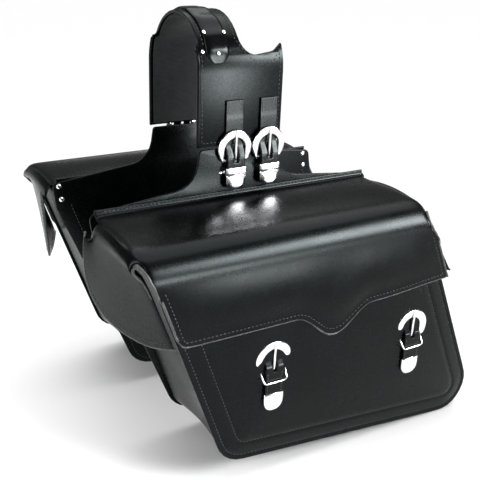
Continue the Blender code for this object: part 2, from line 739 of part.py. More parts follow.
    def make_ring(self):
        """The horseshoe ring with its bar, and on the bag's straps its lower wire."""
        outer, opening = self.ring_outlines()
        name = self.prefix + ("_buckle" if self.wire else "_ring")
        half_thick = RING_THICKNESS / 2
        ring = plate(name, [outer], -half_thick, half_thick)
        cut(ring, plate("opening", [opening], -half_thick * 3, half_thick * 3))
        lean = math.atan2(RING_TOP_OUT - BAR_OUT, RING_RISE)
        turn = Matrix.Translation((self.x, self.out(BAR_OUT), self.bar_z))
        ring.data.transform(turn @ Matrix.Rotation(lean, 4, "X"))
        reach = RING_OPENING_WIDTH / 2 + 2 * MM
        join(ring, rod(
            "bar", (self.x - reach, self.out(BAR_OUT), self.bar_z),
            (self.x + reach, self.out(BAR_OUT), self.bar_z), BAR_RADIUS, 12))
        if self.wire:
            join(ring, self.lower_wire())
        finish(ring, "chrome")

    def lower_wire(self):
        """The wire frame below the bar that holds the strap's tail down."""
        half = RING_OPENING_WIDTH / 2 + 2.2 * MM
        out = TAIL_OUT + STRAP_LEATHER / 2 + WIRE_RADIUS + 2 * TOUCH_GAP
        side = [
            (half, BAR_OUT, 1 * MM), (half, BAR_OUT + 1.5 * MM, -2.5 * MM),
            (half - 0.2 * MM, (BAR_OUT + out) / 2, -7 * MM), (half - 0.8 * MM, out, -WIRE_DROP + 2.5 * MM),
            (half - 4.5 * MM, out, -WIRE_DROP)]
        points = [(self.x - across, *self.place(away, rise)) for across, away, rise in side]
        points += [(self.x + across, *self.place(away, rise)) for across, away, rise in side[::-1]]
        return tube("wire", points, WIRE_RADIUS)

    def make_prong(self):
        """The prong, turning on the bar and resting on the ring."""
        centre_y, centre_z = self.place(BAR_OUT, 0)
        half = PRONG_RADIUS
        eye_radius = BAR_RADIUS + RUNNING_GAP + PRONG_EYE_WALL
        prong = rod(
            self.prefix + "_prong", (self.x - half, centre_y, centre_z),
            (self.x + half, centre_y, centre_z), eye_radius, 16)
        rest_y, rest_z = self.place(
            RING_TOP_OUT + RING_THICKNESS / 2 + PRONG_RADIUS + 2 * TOUCH_GAP,
            RING_RISE - PRONG_TIP_DROP)
        root_y, root_z = self.place(BAR_OUT + PRONG_ROOT_OUT, PRONG_ROOT_RISE)
        shaft = rod("shaft", (self.x, root_y, root_z), (self.x, rest_y, rest_z), PRONG_RADIUS, 10)
        join(prong, shaft)
        cut(prong, rod(
            "eye", (self.x - 4 * half, centre_y, centre_z), (self.x + 4 * half, centre_y, centre_z),
            BAR_RADIUS + RUNNING_GAP, 16))
        finish(prong, "chrome")

    def make_keeper(self):
        """The flat metal loop over the strap's tail and the chape, its legs on the wing."""
        half = STRAP_WIDTH / 2 + KEEPER_SIDE_GAP
        back = TOUCH_GAP
        front = TAIL_OUT + STRAP_LEATHER / 2 + KEEPER_FRONT_GAP + KEEPER_WALL
        top = self.bar_z - KEEPER_DROP
        keeper = block(
            self.prefix + "_keeper",
            (self.x - half - KEEPER_WALL, self.out(front), top - KEEPER_HEIGHT),
            (self.x + half + KEEPER_WALL, self.out(back), top))
        cut(keeper, block(
            "inside", (self.x - half, self.out(front - KEEPER_WALL), top - 2 * KEEPER_HEIGHT),
            (self.x + half, self.out(-back), top + KEEPER_HEIGHT)))
        finish(keeper, "chrome")

    def make_patch(self):
        """The sewn-down top of a yoke strap, above its flex line."""
        low = self.flex_z + STRAP_LEATHER / 2 + TOUCH_GAP
        patch = plate(
            self.prefix + "_patch",
            [[(self.x - STRAP_WIDTH / 2, low), (self.x + STRAP_WIDTH / 2, low),
              (self.x + STRAP_WIDTH / 2, PATCH_TOP_Z), (self.x - STRAP_WIDTH / 2, PATCH_TOP_Z)]],
            self.out(TOUCH_GAP + STRAP_LEATHER), self.out(TOUCH_GAP))
        finish(patch, "leather")

    def make(self):
        """Every piece of this strap."""
        self.make_billet()
        self.make_tip()
        self.make_chape()
        self.make_ring()
        self.make_prong()
        if not self.wire:
            self.make_keeper()
            self.make_patch()


def make_straps():
    """The yoke's two straps and the bag's two straps on the near side."""
    buckles = []
    for place, middle_x in zip(("front", "rear"), YOKE_STRAP_X):
        buckles.append(Buckle(
            f"near_yoke_{place}", middle_x, YOKE_BAR_Z, YOKE_FLEX_Z, YOKE_RING_DIAMETER, False))
    for place, middle_x, top_z in zip(("front", "rear"), BAG_STRAP_X, BAG_RING_TOP_Z):
        buckles.append(Buckle(
            f"near_bag_{place}", middle_x, top_z - RING_RISE, HEM_Z - BAG_FLEX_DROP,
            BAG_RING_DIAMETER, True))
    for buckle in buckles:
        buckle.make()
    return buckles


# ---------------------------------------------------------------- finishing

def finish(obj, kind):
    """Give a finished solid its own material and smooth its round faces."""
    obj.data.materials.clear()
    colour, roughness, metallic = FINISHES[kind]
    obj.data.materials.append(material(obj.name, colour, roughness, metallic))
    obj.data.shade_smooth()
    obj.data.set_sharp_from_angle(angle=math.radians(30))


def mirror_to_far_side():
    """Copy every near piece to the far side, mirrored in Y."""
    for obj in [item for item in PARTS.objects if item.name.startswith("near_")]:
        mesh = obj.data.copy()
        mesh.transform(Matrix.Diagonal((1, -1, 1, 1)))
        mesh.flip_normals()
        object_from_mesh(obj.name.replace("near_", "far_", 1), mesh)


def pivot(name, place, parent, members):
    """An empty on a joint's axis that carries the members, which stay where they are."""
    empty = bpy.data.objects.new(name, None)
    PARTS.objects.link(empty)
    empty.empty_display_size = 0.02
    empty.matrix_world = Matrix.Translation(place)
    bpy.context.view_layer.update()
    if parent is not None:
        empty.parent = parent
        empty.matrix_parent_inverse = parent.matrix_world.inverted()
    bpy.context.view_layer.update()
    for member in members:
        piece = bpy.data.objects[member]
        piece.parent = empty
        piece.matrix_parent_inverse = empty.matrix_world.inverted()
    bpy.context.view_layer.update()
    return empty


def add_pivots(buckles):
    """Parent the moving pieces to empties on their joints' axes."""
    for side, sign in (("near", 1), ("far", -1)):
        panels = ("back_panel", "gusset", "front_panel", "back_stiffener")
        yoke_pieces = ("billet", "tip", "chape", "ring", "keeper")
        bag_pieces = ("billet", "tip", "chape", "buckle")
        on_bag = [f"{side}_{piece}" for piece in panels]
        on_bag += [f"{side}_yoke_{end}_{piece}" for end in ("front", "rear") for piece in yoke_pieces]
        bag = pivot(f"{side}_bag_axis", (0, sign * YOKE_FLEX_Y, YOKE_FLEX_Z), None, on_bag)
        lid = pivot(f"{side}_lid_axis", (0, sign * LID_AXIS_Y, LID_AXIS_Z), bag, [f"{side}_lid"])
        for buckle in buckles:
            name = buckle.prefix.replace("near_", side + "_", 1)
            holder = bag
            if buckle.wire:
                pieces = [f"{name}_{piece}" for piece in bag_pieces]
                spot = (buckle.x, sign * buckle.out(BILLET_OUT), buckle.flex_z)
                holder = pivot(f"{name}_strap_axis", spot, lid, pieces)
            spot = (buckle.x, sign * buckle.out(BAR_OUT), buckle.bar_z)
            pivot(f"{name}_prong_axis", spot, holder, [f"{name}_prong"])


FINISHES = {
    "leather": ((0.018, 0.020, 0.020), 0.38, 0.0),
    "lining": ((0.030, 0.031, 0.033), 0.95, 0.0),
    "board": ((0.020, 0.020, 0.022), 0.60, 0.0),
    "chrome": ((0.82, 0.83, 0.84), 0.08, 1.0),
}

PARTS, CUTTERS = clear_scene()
make_yoke()
make_bag_body()
make_lid()
ALL_BUCKLES = make_straps()
mirror_to_far_side()
add_pivots(ALL_BUCKLES)
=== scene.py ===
"""Looks of the slant saddlebag pair: leather, felt, thread and bright buckles."""

import logging
import math
import random
from dataclasses import dataclass, field
from enum import Enum
from typing import Callable, Iterable, Sequence

import bmesh
import bpy
from mathutils import Matrix, Vector


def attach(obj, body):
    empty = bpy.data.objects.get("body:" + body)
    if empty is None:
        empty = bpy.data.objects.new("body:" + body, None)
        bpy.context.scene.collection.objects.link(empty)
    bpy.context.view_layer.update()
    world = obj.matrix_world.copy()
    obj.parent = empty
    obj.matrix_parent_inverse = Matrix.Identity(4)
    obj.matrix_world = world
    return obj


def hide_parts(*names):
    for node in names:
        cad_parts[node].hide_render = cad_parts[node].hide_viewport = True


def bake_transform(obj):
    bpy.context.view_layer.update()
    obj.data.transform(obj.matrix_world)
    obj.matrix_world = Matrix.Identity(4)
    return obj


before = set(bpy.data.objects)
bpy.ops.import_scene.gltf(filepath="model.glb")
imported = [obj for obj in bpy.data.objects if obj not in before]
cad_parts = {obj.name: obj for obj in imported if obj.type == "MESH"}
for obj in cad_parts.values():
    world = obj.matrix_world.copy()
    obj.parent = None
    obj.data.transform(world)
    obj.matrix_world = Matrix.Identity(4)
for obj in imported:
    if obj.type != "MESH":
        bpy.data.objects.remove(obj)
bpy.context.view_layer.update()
LOG = logging.getLogger("saddlebags")
MM = 0.001
Place = Callable[[float, float], Vector]


class Side(Enum):
    """Which of the two bags a piece belongs to; its value mirrors Y."""

    NEAR = 1
    FAR = -1

    @property
    def word(self) -> str:
        """The side's name, as the nodes' names start."""
        return self.name.lower()


class Slot(Enum):
    """The record's material slots."""

    LEATHER = "leather"
    LINING = "lining"
    BOARD = "board"
    HARDWARE = "hardware"


# ---------------------------------------------------------------- shader building

class Wire:
    """A value in a shader: one output socket that can be used in sums."""

    def __init__(self, maker: "MaterialMaker", socket: bpy.types.NodeSocket) -> None:
        """Hold a socket.

        Args:
            maker: the maker whose node tree holds the socket.
            socket: an output socket.
        """
        self.maker = maker
        self.socket = socket

    def _math(self, operation: str, first: "Wire | float", second: "Wire | float") -> "Wire":
        """One Math node of two values."""
        return self.maker.node("ShaderNodeMath", {"operation": operation}, {0: first, 1: second})

    def __add__(self, other: "Wire | float") -> "Wire":
        """This value plus another."""
        return self._math("ADD", self, other)

    __radd__ = __add__

    def __mul__(self, other: "Wire | float") -> "Wire":
        """This value times another."""
        return self._math("MULTIPLY", self, other)

    __rmul__ = __mul__

    def __sub__(self, other: "Wire | float") -> "Wire":
        """This value less another."""
        return self._math("SUBTRACT", self, other)

    def __rsub__(self, other: "Wire | float") -> "Wire":
        """Another value less this one."""
        return self._math("SUBTRACT", other, self)

    def __pow__(self, other: "Wire | float") -> "Wire":
        """This value to a power."""
        return self._math("POWER", self, other)


class MaterialMaker:
    """Builds one node material around a Principled shader."""

    def __init__(self, name: str) -> None:
        """Start an empty material.

        Args:
            name: the material's name.
        """
        self.material = bpy.data.materials.new(name)
        self.material.use_nodes = True
        self.tree = self.material.node_tree
        self.shader = self.tree.nodes["Principled BSDF"]
        self.place = self.node("ShaderNodeTexCoord", {}, {}, "Object")

    def node(self, kind: str, settings: dict, inputs: dict, output: int | str = 0) -> Wire:
        """Add a node, set it and link it.

        Args:
            kind: the node's type.
            settings: attributes to set before its sockets are read.
            inputs: socket name or number to a value or a Wire.
            output: the output socket wanted.

        Returns:
            The node's output as a Wire.
        """
        made = self.tree.nodes.new(kind)
        for key, value in settings.items():
            setattr(made, key, value)
        for key, value in inputs.items():
            self.feed(made.inputs[key], value)
        return Wire(self, made.outputs[output])

    def feed(self, socket: bpy.types.NodeSocket, value: object) -> None:
        """Link a Wire to a socket, or set the socket's value."""
        if isinstance(value, Wire):
            self.tree.links.new(value.socket, socket)
        else:
            socket.default_value = value

    def noise(self, scale: float, detail: float = 4.0, roughness: float = 0.55) -> Wire:
        """Noise over the object, about 0.5 on average."""
        return self.node("ShaderNodeTexNoise", {}, {
            "Vector": self.place, "Scale": scale, "Detail": detail, "Roughness": roughness}, 0)

    def cells(self, scale: float) -> Wire:
        """How far a point is from the edge of its cell, such as leather's pebbles."""
        return self.node("ShaderNodeTexVoronoi", {"feature": "DISTANCE_TO_EDGE"}, {
            "Vector": self.place, "Scale": scale})

    def yarns(self, direction: str) -> Wire:
        """The parallel yarns of a cloth along one axis."""
        return self.node("ShaderNodeTexWave", {
            "wave_type": "BANDS", "wave_profile": "SIN", "bands_direction": direction}, {
            "Vector": self.place, "Scale": 190.0, "Distortion": 1.6, "Detail": 2.0}, 1)

    def spread(self, value: Wire, low: float, high: float, to_low: float, to_high: float) -> Wire:
        """Map a value's range to another, held at both ends."""
        return self.node("ShaderNodeMapRange", {"clamp": True}, {
            "Value": value, "From Min": low, "From Max": high, "To Min": to_low, "To Max": to_high})

    def blend(self, amount: Wire, one: Sequence[float], two: Sequence[float]) -> Wire:
        """Mix two colours by an amount."""
        mixer = self.tree.nodes.new("ShaderNodeMix")
        mixer.data_type = "RGBA"
        self.feed(mixer.inputs[0], amount)
        mixer.inputs[6].default_value = (*one, 1.0)
        mixer.inputs[7].default_value = (*two, 1.0)
        return Wire(self, mixer.outputs[2])

    def bump(self, height: Wire, strength: float, distance: float,
             under: Wire | None = None) -> Wire:
        """A Bump node over a height, and over another bump if one is given."""
        inputs = {"Height": height, "Strength": strength, "Distance": distance}
        if under is not None:
            inputs["Normal"] = under
        return self.node("ShaderNodeBump", {}, inputs)

    def set(self, **sockets: object) -> bpy.types.Material:
        """Set or link the Principled shader's sockets, spaces written as underscores.

        Args:
            sockets: socket name to a value or a Wire.

        Returns:
            The material.
        """
        for key, value in sockets.items():
            self.feed(self.shader.inputs[key.replace("_", " ")], value)
        return self.material


@dataclass(frozen=True)
class LeatherFinish:
    """Smooth black harness leather with a soft wax shine."""

    name: str = "black_leather"
    dark: tuple[float, float, float] = (0.0002, 0.00026, 0.00026)
    worn: tuple[float, float, float] = (0.0007, 0.0009, 0.0009)
    gloss: float = 0.23
    dull: float = 0.32
    grain: float = 1500.0
    grain_depth: float = 0.00003
    coat: float = 0.03

    def build(self) -> bpy.types.Material:
        """Make the material: fine pebbles, faint pull creases and cloudy wax."""
        maker = MaterialMaker(self.name)
        cloud = maker.noise(14.0, 5.0, 0.6)
        fine = maker.noise(420.0, 3.0, 0.6)
        pebbles = maker.cells(self.grain)
        creases = maker.node("ShaderNodeTexNoise", {}, {
            "Vector": maker.place, "Scale": 38.0, "Detail": 8.0, "Roughness": 0.7,
            "Distortion": 1.4})
        colour = maker.blend(maker.spread(cloud, 0.35, 0.68, 0.0, 1.0), self.dark, self.worn)
        rough = maker.spread(cloud * 0.6 + fine * 0.4, 0.38, 0.62, self.gloss, self.dull)
        low = maker.bump(creases, 0.08, 0.0006)
        mid = maker.bump(fine, 0.10, 0.0004, low)
        top = maker.bump(maker.spread(pebbles, 0.0, 0.25, 0.0, 1.0), 0.35, self.grain_depth, mid)
        return maker.set(
            Base_Color=colour, Roughness=rough, Normal=top, Coat_Weight=self.coat,
            Coat_Roughness=0.16, Specular_IOR_Level=0.12, Specular_Tint=(0.84, 0.98, 1.0, 1.0))


@dataclass(frozen=True)
class FeltFinish:
    """Matte charcoal woven lining."""

    name: str = "charcoal_lining"
    dark: tuple[float, float, float] = (0.003, 0.0034, 0.0036)
    light: tuple[float, float, float] = (0.018, 0.020, 0.021)

    def build(self) -> bpy.types.Material:
        """Make the material: crossed yarns broken up by fuzz."""
        maker = MaterialMaker(self.name)
        warp, weft = maker.yarns("X"), maker.yarns("Z")
        fuzz = maker.noise(900.0, 4.0, 0.7)
        slub = maker.noise(120.0, 3.0, 0.6)
        weave = warp * weft
        shade = maker.spread(weave * 0.5 + fuzz * 0.6 + slub * 0.4, 0.45, 0.95, 0.0, 1.0)
        colour = maker.blend(shade, self.dark, self.light)
        height = weave + fuzz * 0.8
        return maker.set(
            Base_Color=colour, Roughness=0.96, Normal=maker.bump(height, 0.6, 0.0005),
            Sheen_Weight=0.10, Sheen_Roughness=0.5, Specular_IOR_Level=0.2)


@dataclass(frozen=True)
class MetalFinish:
    """Bright plated metal."""

    name: str = "bright_plate"
    colour: tuple[float, float, float] = (0.93, 0.935, 0.94)
    rough: float = 0.14
    scuffed: float = 0.27

    def build(self) -> bpy.types.Material:
        """Make the material: polished, with light scuffs."""
        maker = MaterialMaker(self.name)
        cloud = maker.noise(70.0, 6.0, 0.65)
        scratch = maker.noise(650.0, 2.0, 0.5)
        rough = maker.spread(cloud, 0.42, 0.72, self.rough, self.scuffed)
        return maker.set(
            Base_Color=(*self.colour, 1.0), Metallic=1.0, Roughness=rough,
            Normal=maker.bump(scratch, 0.05, 0.0001))


@dataclass(frozen=True)
class ThreadFinish:
    """Waxed black thread."""

    name: str = "waxed_thread"
    dark: tuple[float, float, float] = (0.008, 0.009, 0.0088)
    light: tuple[float, float, float] = (0.075, 0.080, 0.078)

    def build(self) -> bpy.types.Material:
        """Make the material: a twisted-strand texture whose paler spots are a painted glint where
        light would catch the thread.
        """
        maker = MaterialMaker(self.name)
        strands_and_glints = maker.noise(1400.0, 3.0, 0.7)
        # the light colour is a painted glint on the black thread, spread by the strand noise
        colour = maker.blend(maker.spread(strands_and_glints, 0.35, 0.7, 0.0, 1.0), self.dark, self.light)
        return maker.set(
            Base_Color=colour, Roughness=0.42, Normal=maker.bump(strands_and_glints, 0.6, 0.0003))


@dataclass(frozen=True)
class EdgeFinish:
    """The cut edges of the leather, burnished; their pale colour is partly rubbed wear and partly a
    painted highlight along the edge.
    """

    name: str = "burnished_edge"
    dark: tuple[float, float, float] = (0.012, 0.0135, 0.0132)
    light: tuple[float, float, float] = (0.055, 0.059, 0.058)

    def build(self) -> bpy.types.Material:
        """Make the material: pale streaks along a waxed edge, partly wear and partly painted
        highlight.
        """
        maker = MaterialMaker(self.name)
        rub_and_highlight = maker.noise(160.0, 5.0, 0.65)
        fibre = maker.noise(1300.0, 3.0, 0.7)
        # worn mixes rubbed wear with a painted highlight: the pale colour stands in for light
        # caught along the edge
        worn = maker.spread(rub_and_highlight * 0.7 + fibre * 0.3, 0.40, 0.66, 0.0, 1.0)
        colour = maker.blend(worn, self.dark, self.light)
        return maker.set(
            Base_Color=colour, Roughness=maker.spread(fibre, 0.3, 0.7, 0.34, 0.52),
            Normal=maker.bump(fibre, 0.4, 0.0003), Coat_Weight=0.1, Coat_Roughness=0.3)


@dataclass(frozen=True)
class BoardFinish:
    """The dull plastic board inside each bag's back."""

    name: str = "dull_board"
    dark: tuple[float, float, float] = (0.010, 0.010, 0.011)
    light: tuple[float, float, float] = (0.022, 0.022, 0.024)

    def build(self) -> bpy.types.Material:
        """Make the material: pressed plastic with a fine pebble."""
        maker = MaterialMaker(self.name)
        pebble = maker.noise(500.0, 3.0, 0.6)
        colour = maker.blend(pebble, self.dark, self.light)
        return maker.set(Base_Color=colour, Roughness=0.6, Normal=maker.bump(pebble, 0.3, 0.0002))


@dataclass(frozen=True)
class FloorFinish:
    """A plain pale floor."""

    name: str = "pale_floor"
    colour: tuple[float, float, float] = (0.92, 0.92, 0.92)

    def build(self) -> bpy.types.Material:
        """Make the material: matte, near white."""
        maker = MaterialMaker(self.name)
        speck = maker.noise(8.0, 2.0, 0.5)
        dimmer = tuple(part * 0.985 for part in self.colour)
        return maker.set(Base_Color=maker.blend(speck, dimmer, self.colour), Roughness=0.9)


class Finishes:
    """One material of each finish, made once."""

    def __init__(self) -> None:
        """Build every finish."""
        self.leather = LeatherFinish().build()
        self.strap = LeatherFinish(
            name="strap_leather", gloss=0.19, dull=0.30, grain=1900.0, coat=0.10).build()
        self.edge = EdgeFinish().build()
        self.felt = FeltFinish().build()
        self.metal = MetalFinish().build()
        self.thread = ThreadFinish().build()
        self.board = BoardFinish().build()
        self.floor = FloorFinish().build()


# ---------------------------------------------------------------- mesh shop

class MeshShop:
    """Makes pieces from bmeshes whose points are in millimetres on the near side."""

    def __init__(self, finishes: Finishes) -> None:
        """Keep the finishes that pieces are dressed in.

        Args:
            finishes: the materials.
        """
        self.finishes = finishes

    def piece(self, name: str, shape: bmesh.types.BMesh, material: bpy.types.Material,
              slot: Slot, side: Side = Side.NEAR) -> bpy.types.Object:
        """Turn a bmesh into an object at the origin, in metres, mirrored for the far side.

        Args:
            name: the piece's name.
            shape: the bmesh, which is used up.
            material: what it is dressed in.
            slot: the record's slot; not used.
            side: which side it is on.

        Returns:
            The object.
        """
        scale = Matrix.Diagonal((MM, MM * side.value, MM, 1.0))
        bmesh.ops.transform(shape, matrix=scale, verts=shape.verts)
        if side is Side.FAR:
            bmesh.ops.reverse_faces(shape, faces=shape.faces)
        return self.show(name, shape, material, slot)

    @staticmethod
    def show(name: str, shape: bmesh.types.BMesh, material: bpy.types.Material,
             slot: Slot | None = None) -> bpy.types.Object:
        """Put a bmesh in metres into the scene as a smooth object, and use it up."""
        mesh = bpy.data.meshes.new(name)
        shape.to_mesh(mesh)
        shape.free()
        mesh.materials.append(material)
        mesh.shade_smooth()
        obj = bpy.data.objects.new(name, mesh)
        bpy.context.scene.collection.objects.link(obj)
        return obj

    @staticmethod
    def thicken(obj: bpy.types.Object, thickness: float, offset: float) -> None:
        """Give an open sheet its thickness and round its edges.

        Args:
            obj: the sheet.
            thickness: its thickness in millimetres.
            offset: -1 grows it inwards, 0 to both sides.
        """
        solid = obj.modifiers.new("thickness", "SOLIDIFY")
        solid.thickness = thickness * MM
        solid.offset = offset
        smooth = obj.modifiers.new("rounding", "SUBSURF")
        smooth.levels = 1
        smooth.render_levels = 1

    @staticmethod
    def sheet(columns: int, rows: int, place: Place) -> bmesh.types.BMesh:
        """A grid of faces laid on a surface.

        Args:
            columns: faces along the first share.
            rows: faces along the second share.
            place: from two shares, 0 to 1, to a point.

        Returns:
            The sheet as a bmesh.
        """
        shape = bmesh.new()
        bmesh.ops.create_grid(shape, x_segments=columns, y_segments=rows, size=1.0)
        for vert in shape.verts:
            vert.co = place((vert.co.x + 1) / 2, (vert.co.y + 1) / 2)
        return shape

    @staticmethod
    def face_towards(shape: bmesh.types.BMesh, spot: Vector, way: Vector) -> None:
        """Turn an open sheet over if its face nearest a spot looks the wrong way."""
        bmesh.ops.recalc_face_normals(shape, faces=shape.faces)
        shape.faces.ensure_lookup_table()
        shape.normal_update()
        nearest = min(shape.faces, key=lambda face: (face.calc_center_median() - spot).length)
        if nearest.normal.dot(way) < 0:
            bmesh.ops.reverse_faces(shape, faces=shape.faces)

    @staticmethod
    def loft(loops: Sequence[Sequence[Vector]], closed: bool = False) -> bmesh.types.BMesh:
        """A skin through closed loops of equally many points.

        Args:
            loops: the loops in order.
            closed: whether the last loop joins the first; otherwise both ends are capped.

        Returns:
            The closed skin as a bmesh.
        """
        shape = bmesh.new()
        ring = bmesh.ops.create_circle(shape, segments=len(loops[0]), radius=1.0)["verts"]
        for vert, point in zip(ring, loops[0]):
            vert.co = point
        first = list(shape.edges)
        edges = first
        for loop in loops[1:]:
            made = bmesh.ops.extrude_edge_only(shape, edges=edges)["geom"]
            fresh = {item for item in made if isinstance(item, bmesh.types.BMVert)}
            ring = [next(edge.other_vert(vert) for edge in vert.link_edges
                         if edge.other_vert(vert) in fresh) for vert in ring]
            for vert, point in zip(ring, loop):
                vert.co = point
            edges = [item for item in made if isinstance(item, bmesh.types.BMEdge)
                     and item.verts[0] in fresh and item.verts[1] in fresh]
        if closed:
            bmesh.ops.bridge_loops(shape, edges=first + edges)
        else:
            bmesh.ops.contextual_create(shape, geom=first)
            bmesh.ops.contextual_create(shape, geom=edges)
        bmesh.ops.recalc_face_normals(shape, faces=shape.faces)
        return shape

    @classmethod
    def tube(cls, path: Sequence[Vector], section: Callable[[int, float], tuple[Vector, Vector]],
             sides: int = 12, closed: bool = False, square: float = 1.0) -> bmesh.types.BMesh:
        """A skin of round, oval or flat section along a path, with round ends.

        Args:
            path: the points of the centre line.
            section: from a point's number and share to the two half axes there.
            sides: points around the section.
            closed: whether the path's last point joins its first.
            square: 1 for an oval section, and less for a flatter, squarer one.

        Returns:
            The closed tube as a bmesh.
        """
        def loop(index: int, size: float, shift: Vector) -> list[Vector]:
            """The points around one station."""
            wide, thick = section(index, index / max(len(path) - 1, 1))
            points = []
            for step in range(sides):
                angle = 2 * math.pi * (step + 0.5) / sides
                across, up = math.cos(angle), math.sin(angle)
                across = math.copysign(abs(across) ** square, across)
                up = math.copysign(abs(up) ** square, up)
                inner = wide - wide.normalized() * min(thick.length * (1 - size), wide.length)
                points.append(path[index] + shift + inner * across + thick * up * size)
            return points

        loops = []
        if not closed:
            thick = section(0, 0.0)[1].length
            run = (path[0] - path[1]).normalized()
            loops.append(loop(0, 0.4, run * thick * 0.55))
            loops.append(loop(0, 0.8, run * thick * 0.35))
        loops += [loop(index, 1.0, Vector()) for index in range(len(path))]
        if not closed:
            last = len(path) - 1
            thick = section(last, 1.0)[1].length
            run = (path[-1] - path[-2]).normalized()
            loops.append(loop(last, 0.8, run * thick * 0.35))
            loops.append(loop(last, 0.4, run * thick * 0.55))
        return cls.loft(loops, closed)

    @classmethod
    def round_tube(cls, path: Sequence[Vector], radius: Callable[[float], float] | float,
                   sides: int = 10, closed: bool = False) -> bmesh.types.BMesh:
        """A round rod along a path.

        Args:
            path: the points of the centre line.
            radius: one radius, or a function of the share along the path.
            sides: faces around.
            closed: whether the path closes.

        Returns:
            The rod as a bmesh.
        """
        runs = []
        last = len(path) - 1
        for index in range(len(path)):
            if closed:
                runs.append((path[(index + 1) % (last + 1)] - path[index - 1]).normalized())
            else:
                runs.append((path[min(index + 1, last)] - path[max(index - 1, 0)]).normalized())
        guide = min((Vector((1, 0, 0)), Vector((0, 1, 0)), Vector((0, 0, 1))),
                    key=lambda axis: max(abs(axis.dot(run)) for run in runs))
        firsts = []
        for run in runs:
            first = run.cross(guide).normalized()
            if firsts and not closed:
                first = (firsts[-1] - run * firsts[-1].dot(run)).normalized()
            firsts.append(first)

        def section(index: int, share: float) -> tuple[Vector, Vector]:
            """The two half axes square to the path."""
            size = radius(share) if callable(radius) else radius
            return firsts[index] * size, runs[index].cross(firsts[index]).normalized() * size

        return cls.tube(path, section, sides, closed)

    @classmethod
    def plate(cls, outline: Sequence[Vector], normal: Vector, thickness: float, edge: float,
              dome: float = 0.0) -> bmesh.types.BMesh:
        """A rounded plate from a flat outline, its face swelling towards the middle.

        Args:
            outline: the points of its edge, on its back face.
            normal: which way its front face looks.
            thickness: from back to front.
            edge: the radius of its edges.
            dome: how far the middle of the face stands out.

        Returns:
            The closed plate as a bmesh.
        """
        centre = sum(outline, Vector()) / len(outline)
        reach = min((point - centre).length for point in outline)
        shrink = edge / reach

        def loop(scale: float, height: float) -> list[Vector]:
            """The outline scaled about its middle and lifted."""
            return [centre + (point - centre) * scale + normal * height for point in outline]

        top = thickness
        return cls.loft([
            loop(1 - shrink, 0.0), loop(1 - shrink * 0.3, edge * 0.3), loop(1.0, edge),
            loop(1.0, top - edge), loop(1 - shrink * 0.3, top - edge * 0.3),
            loop(1 - shrink, top), loop(0.75, top + dome * 0.55), loop(0.45, top + dome * 0.88),
            loop(0.15, top + dome)])

    @classmethod
    def rivet(cls, place: Vector, normal: Vector, radius: float, rise: float) -> bmesh.types.BMesh:
        """A domed rivet head on a face.

        Args:
            place: where its middle meets the face.
            normal: the face's normal.
            radius: the head's radius.
            rise: how far it stands out.

        Returns:
            The head as a bmesh.
        """
        shape = bmesh.new()
        made = bmesh.ops.create_uvsphere(shape, u_segments=14, v_segments=8, radius=1.0)["verts"]
        turn = normal.to_track_quat("Z", "Y").to_matrix()
        for vert in made:
            vert.co = place + turn @ Vector(
                (vert.co.x * radius, vert.co.y * radius, vert.co.z * rise))
        return shape

    @staticmethod
    def add(shape: bmesh.types.BMesh, other: bmesh.types.BMesh) -> None:
        """Add another bmesh's faces to this one, and use the other up."""
        mesh = bpy.data.meshes.new("part")
        other.to_mesh(mesh)
        other.free()
        shape.from_mesh(mesh)
        bpy.data.meshes.remove(mesh)

    def copy_of_node(self, node: str, name: str, material: bpy.types.Material, slot: Slot,
                     edge: float) -> bpy.types.Object:
        """A cut sheet with the node's own outline, its edges rounded.

        Args:
            node: the frame's node.
            name: the new piece's name.
            material: what it is dressed in.
            slot: the record's slot; not used.
            edge: the edges' radius in millimetres.

        Returns:
            The piece, which stands for the node.
        """
        shape = bmesh.new()
        shape.from_mesh(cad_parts[node].data)
        bmesh.ops.remove_doubles(shape, verts=shape.verts, dist=1e-5)
        bmesh.ops.dissolve_limit(
            shape, angle_limit=math.radians(1.0), verts=shape.verts, edges=shape.edges)
        sharp = [item for item in shape.edges
                 if len(item.link_faces) == 2 and item.calc_face_angle(0.0) > math.radians(35)]
        bmesh.ops.bevel(
            shape, geom=sharp, offset=edge * MM, segments=3, profile=0.5, affect="EDGES",
            clamp_overlap=True, material=-1)
        obj = self.show(name, shape, material, slot)
        obj.data.set_sharp_from_angle(angle=math.radians(28))
        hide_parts(node)
        return obj


@dataclass
class Seam:
    """A row of stitches along a run of points with the surface's normal at each."""

    points: list[Vector]
    normals: list[Vector]
    pitch: float = 5.4
    length: float = 3.9
    radius: float = 0.5

    def spots(self) -> Iterable[tuple[Vector, Vector, Vector]]:
        """Each stitch's middle, direction and normal."""
        travelled = self.pitch / 2
        for start, end, normal in zip(self.points, self.points[1:], self.normals):
            run = end - start
            if run.length < 1e-6:
                continue
            while travelled < run.length:
                yield start + run.normalized() * travelled, run.normalized(), normal
                travelled += self.pitch
            travelled -= run.length


class Thread:
    """Sews rows of stitches into one piece."""

    def __init__(self, shop: MeshShop) -> None:
        """Keep the shop that makes the pieces."""
        self.shop = shop

    def sew(self, name: str, seams: Sequence[Seam], side: Side) -> bpy.types.Object:
        """Make one object of all the stitches.

        Args:
            name: the piece's name.
            seams: the rows of stitches.
            side: which side they are on.

        Returns:
            The stitches' object.
        """
        chance = random.Random(len(name))
        shape = bmesh.new()
        for seam in seams:
            for middle, run, normal in seam.spots():
                verts = bmesh.ops.create_icosphere(shape, subdivisions=1, radius=1.0)["verts"]
                across = normal.cross(run).normalized()
                tilt = Matrix.Rotation(chance.uniform(-0.10, 0.14), 3, normal)
                axes = Matrix((tilt @ run * seam.length / 2, tilt @ across * seam.radius,
                               normal * seam.radius)).transposed()
                for vert in verts:
                    vert.co = middle + axes @ vert.co
        return self.shop.piece(name, shape, self.shop.finishes.thread, Slot.LEATHER, side)


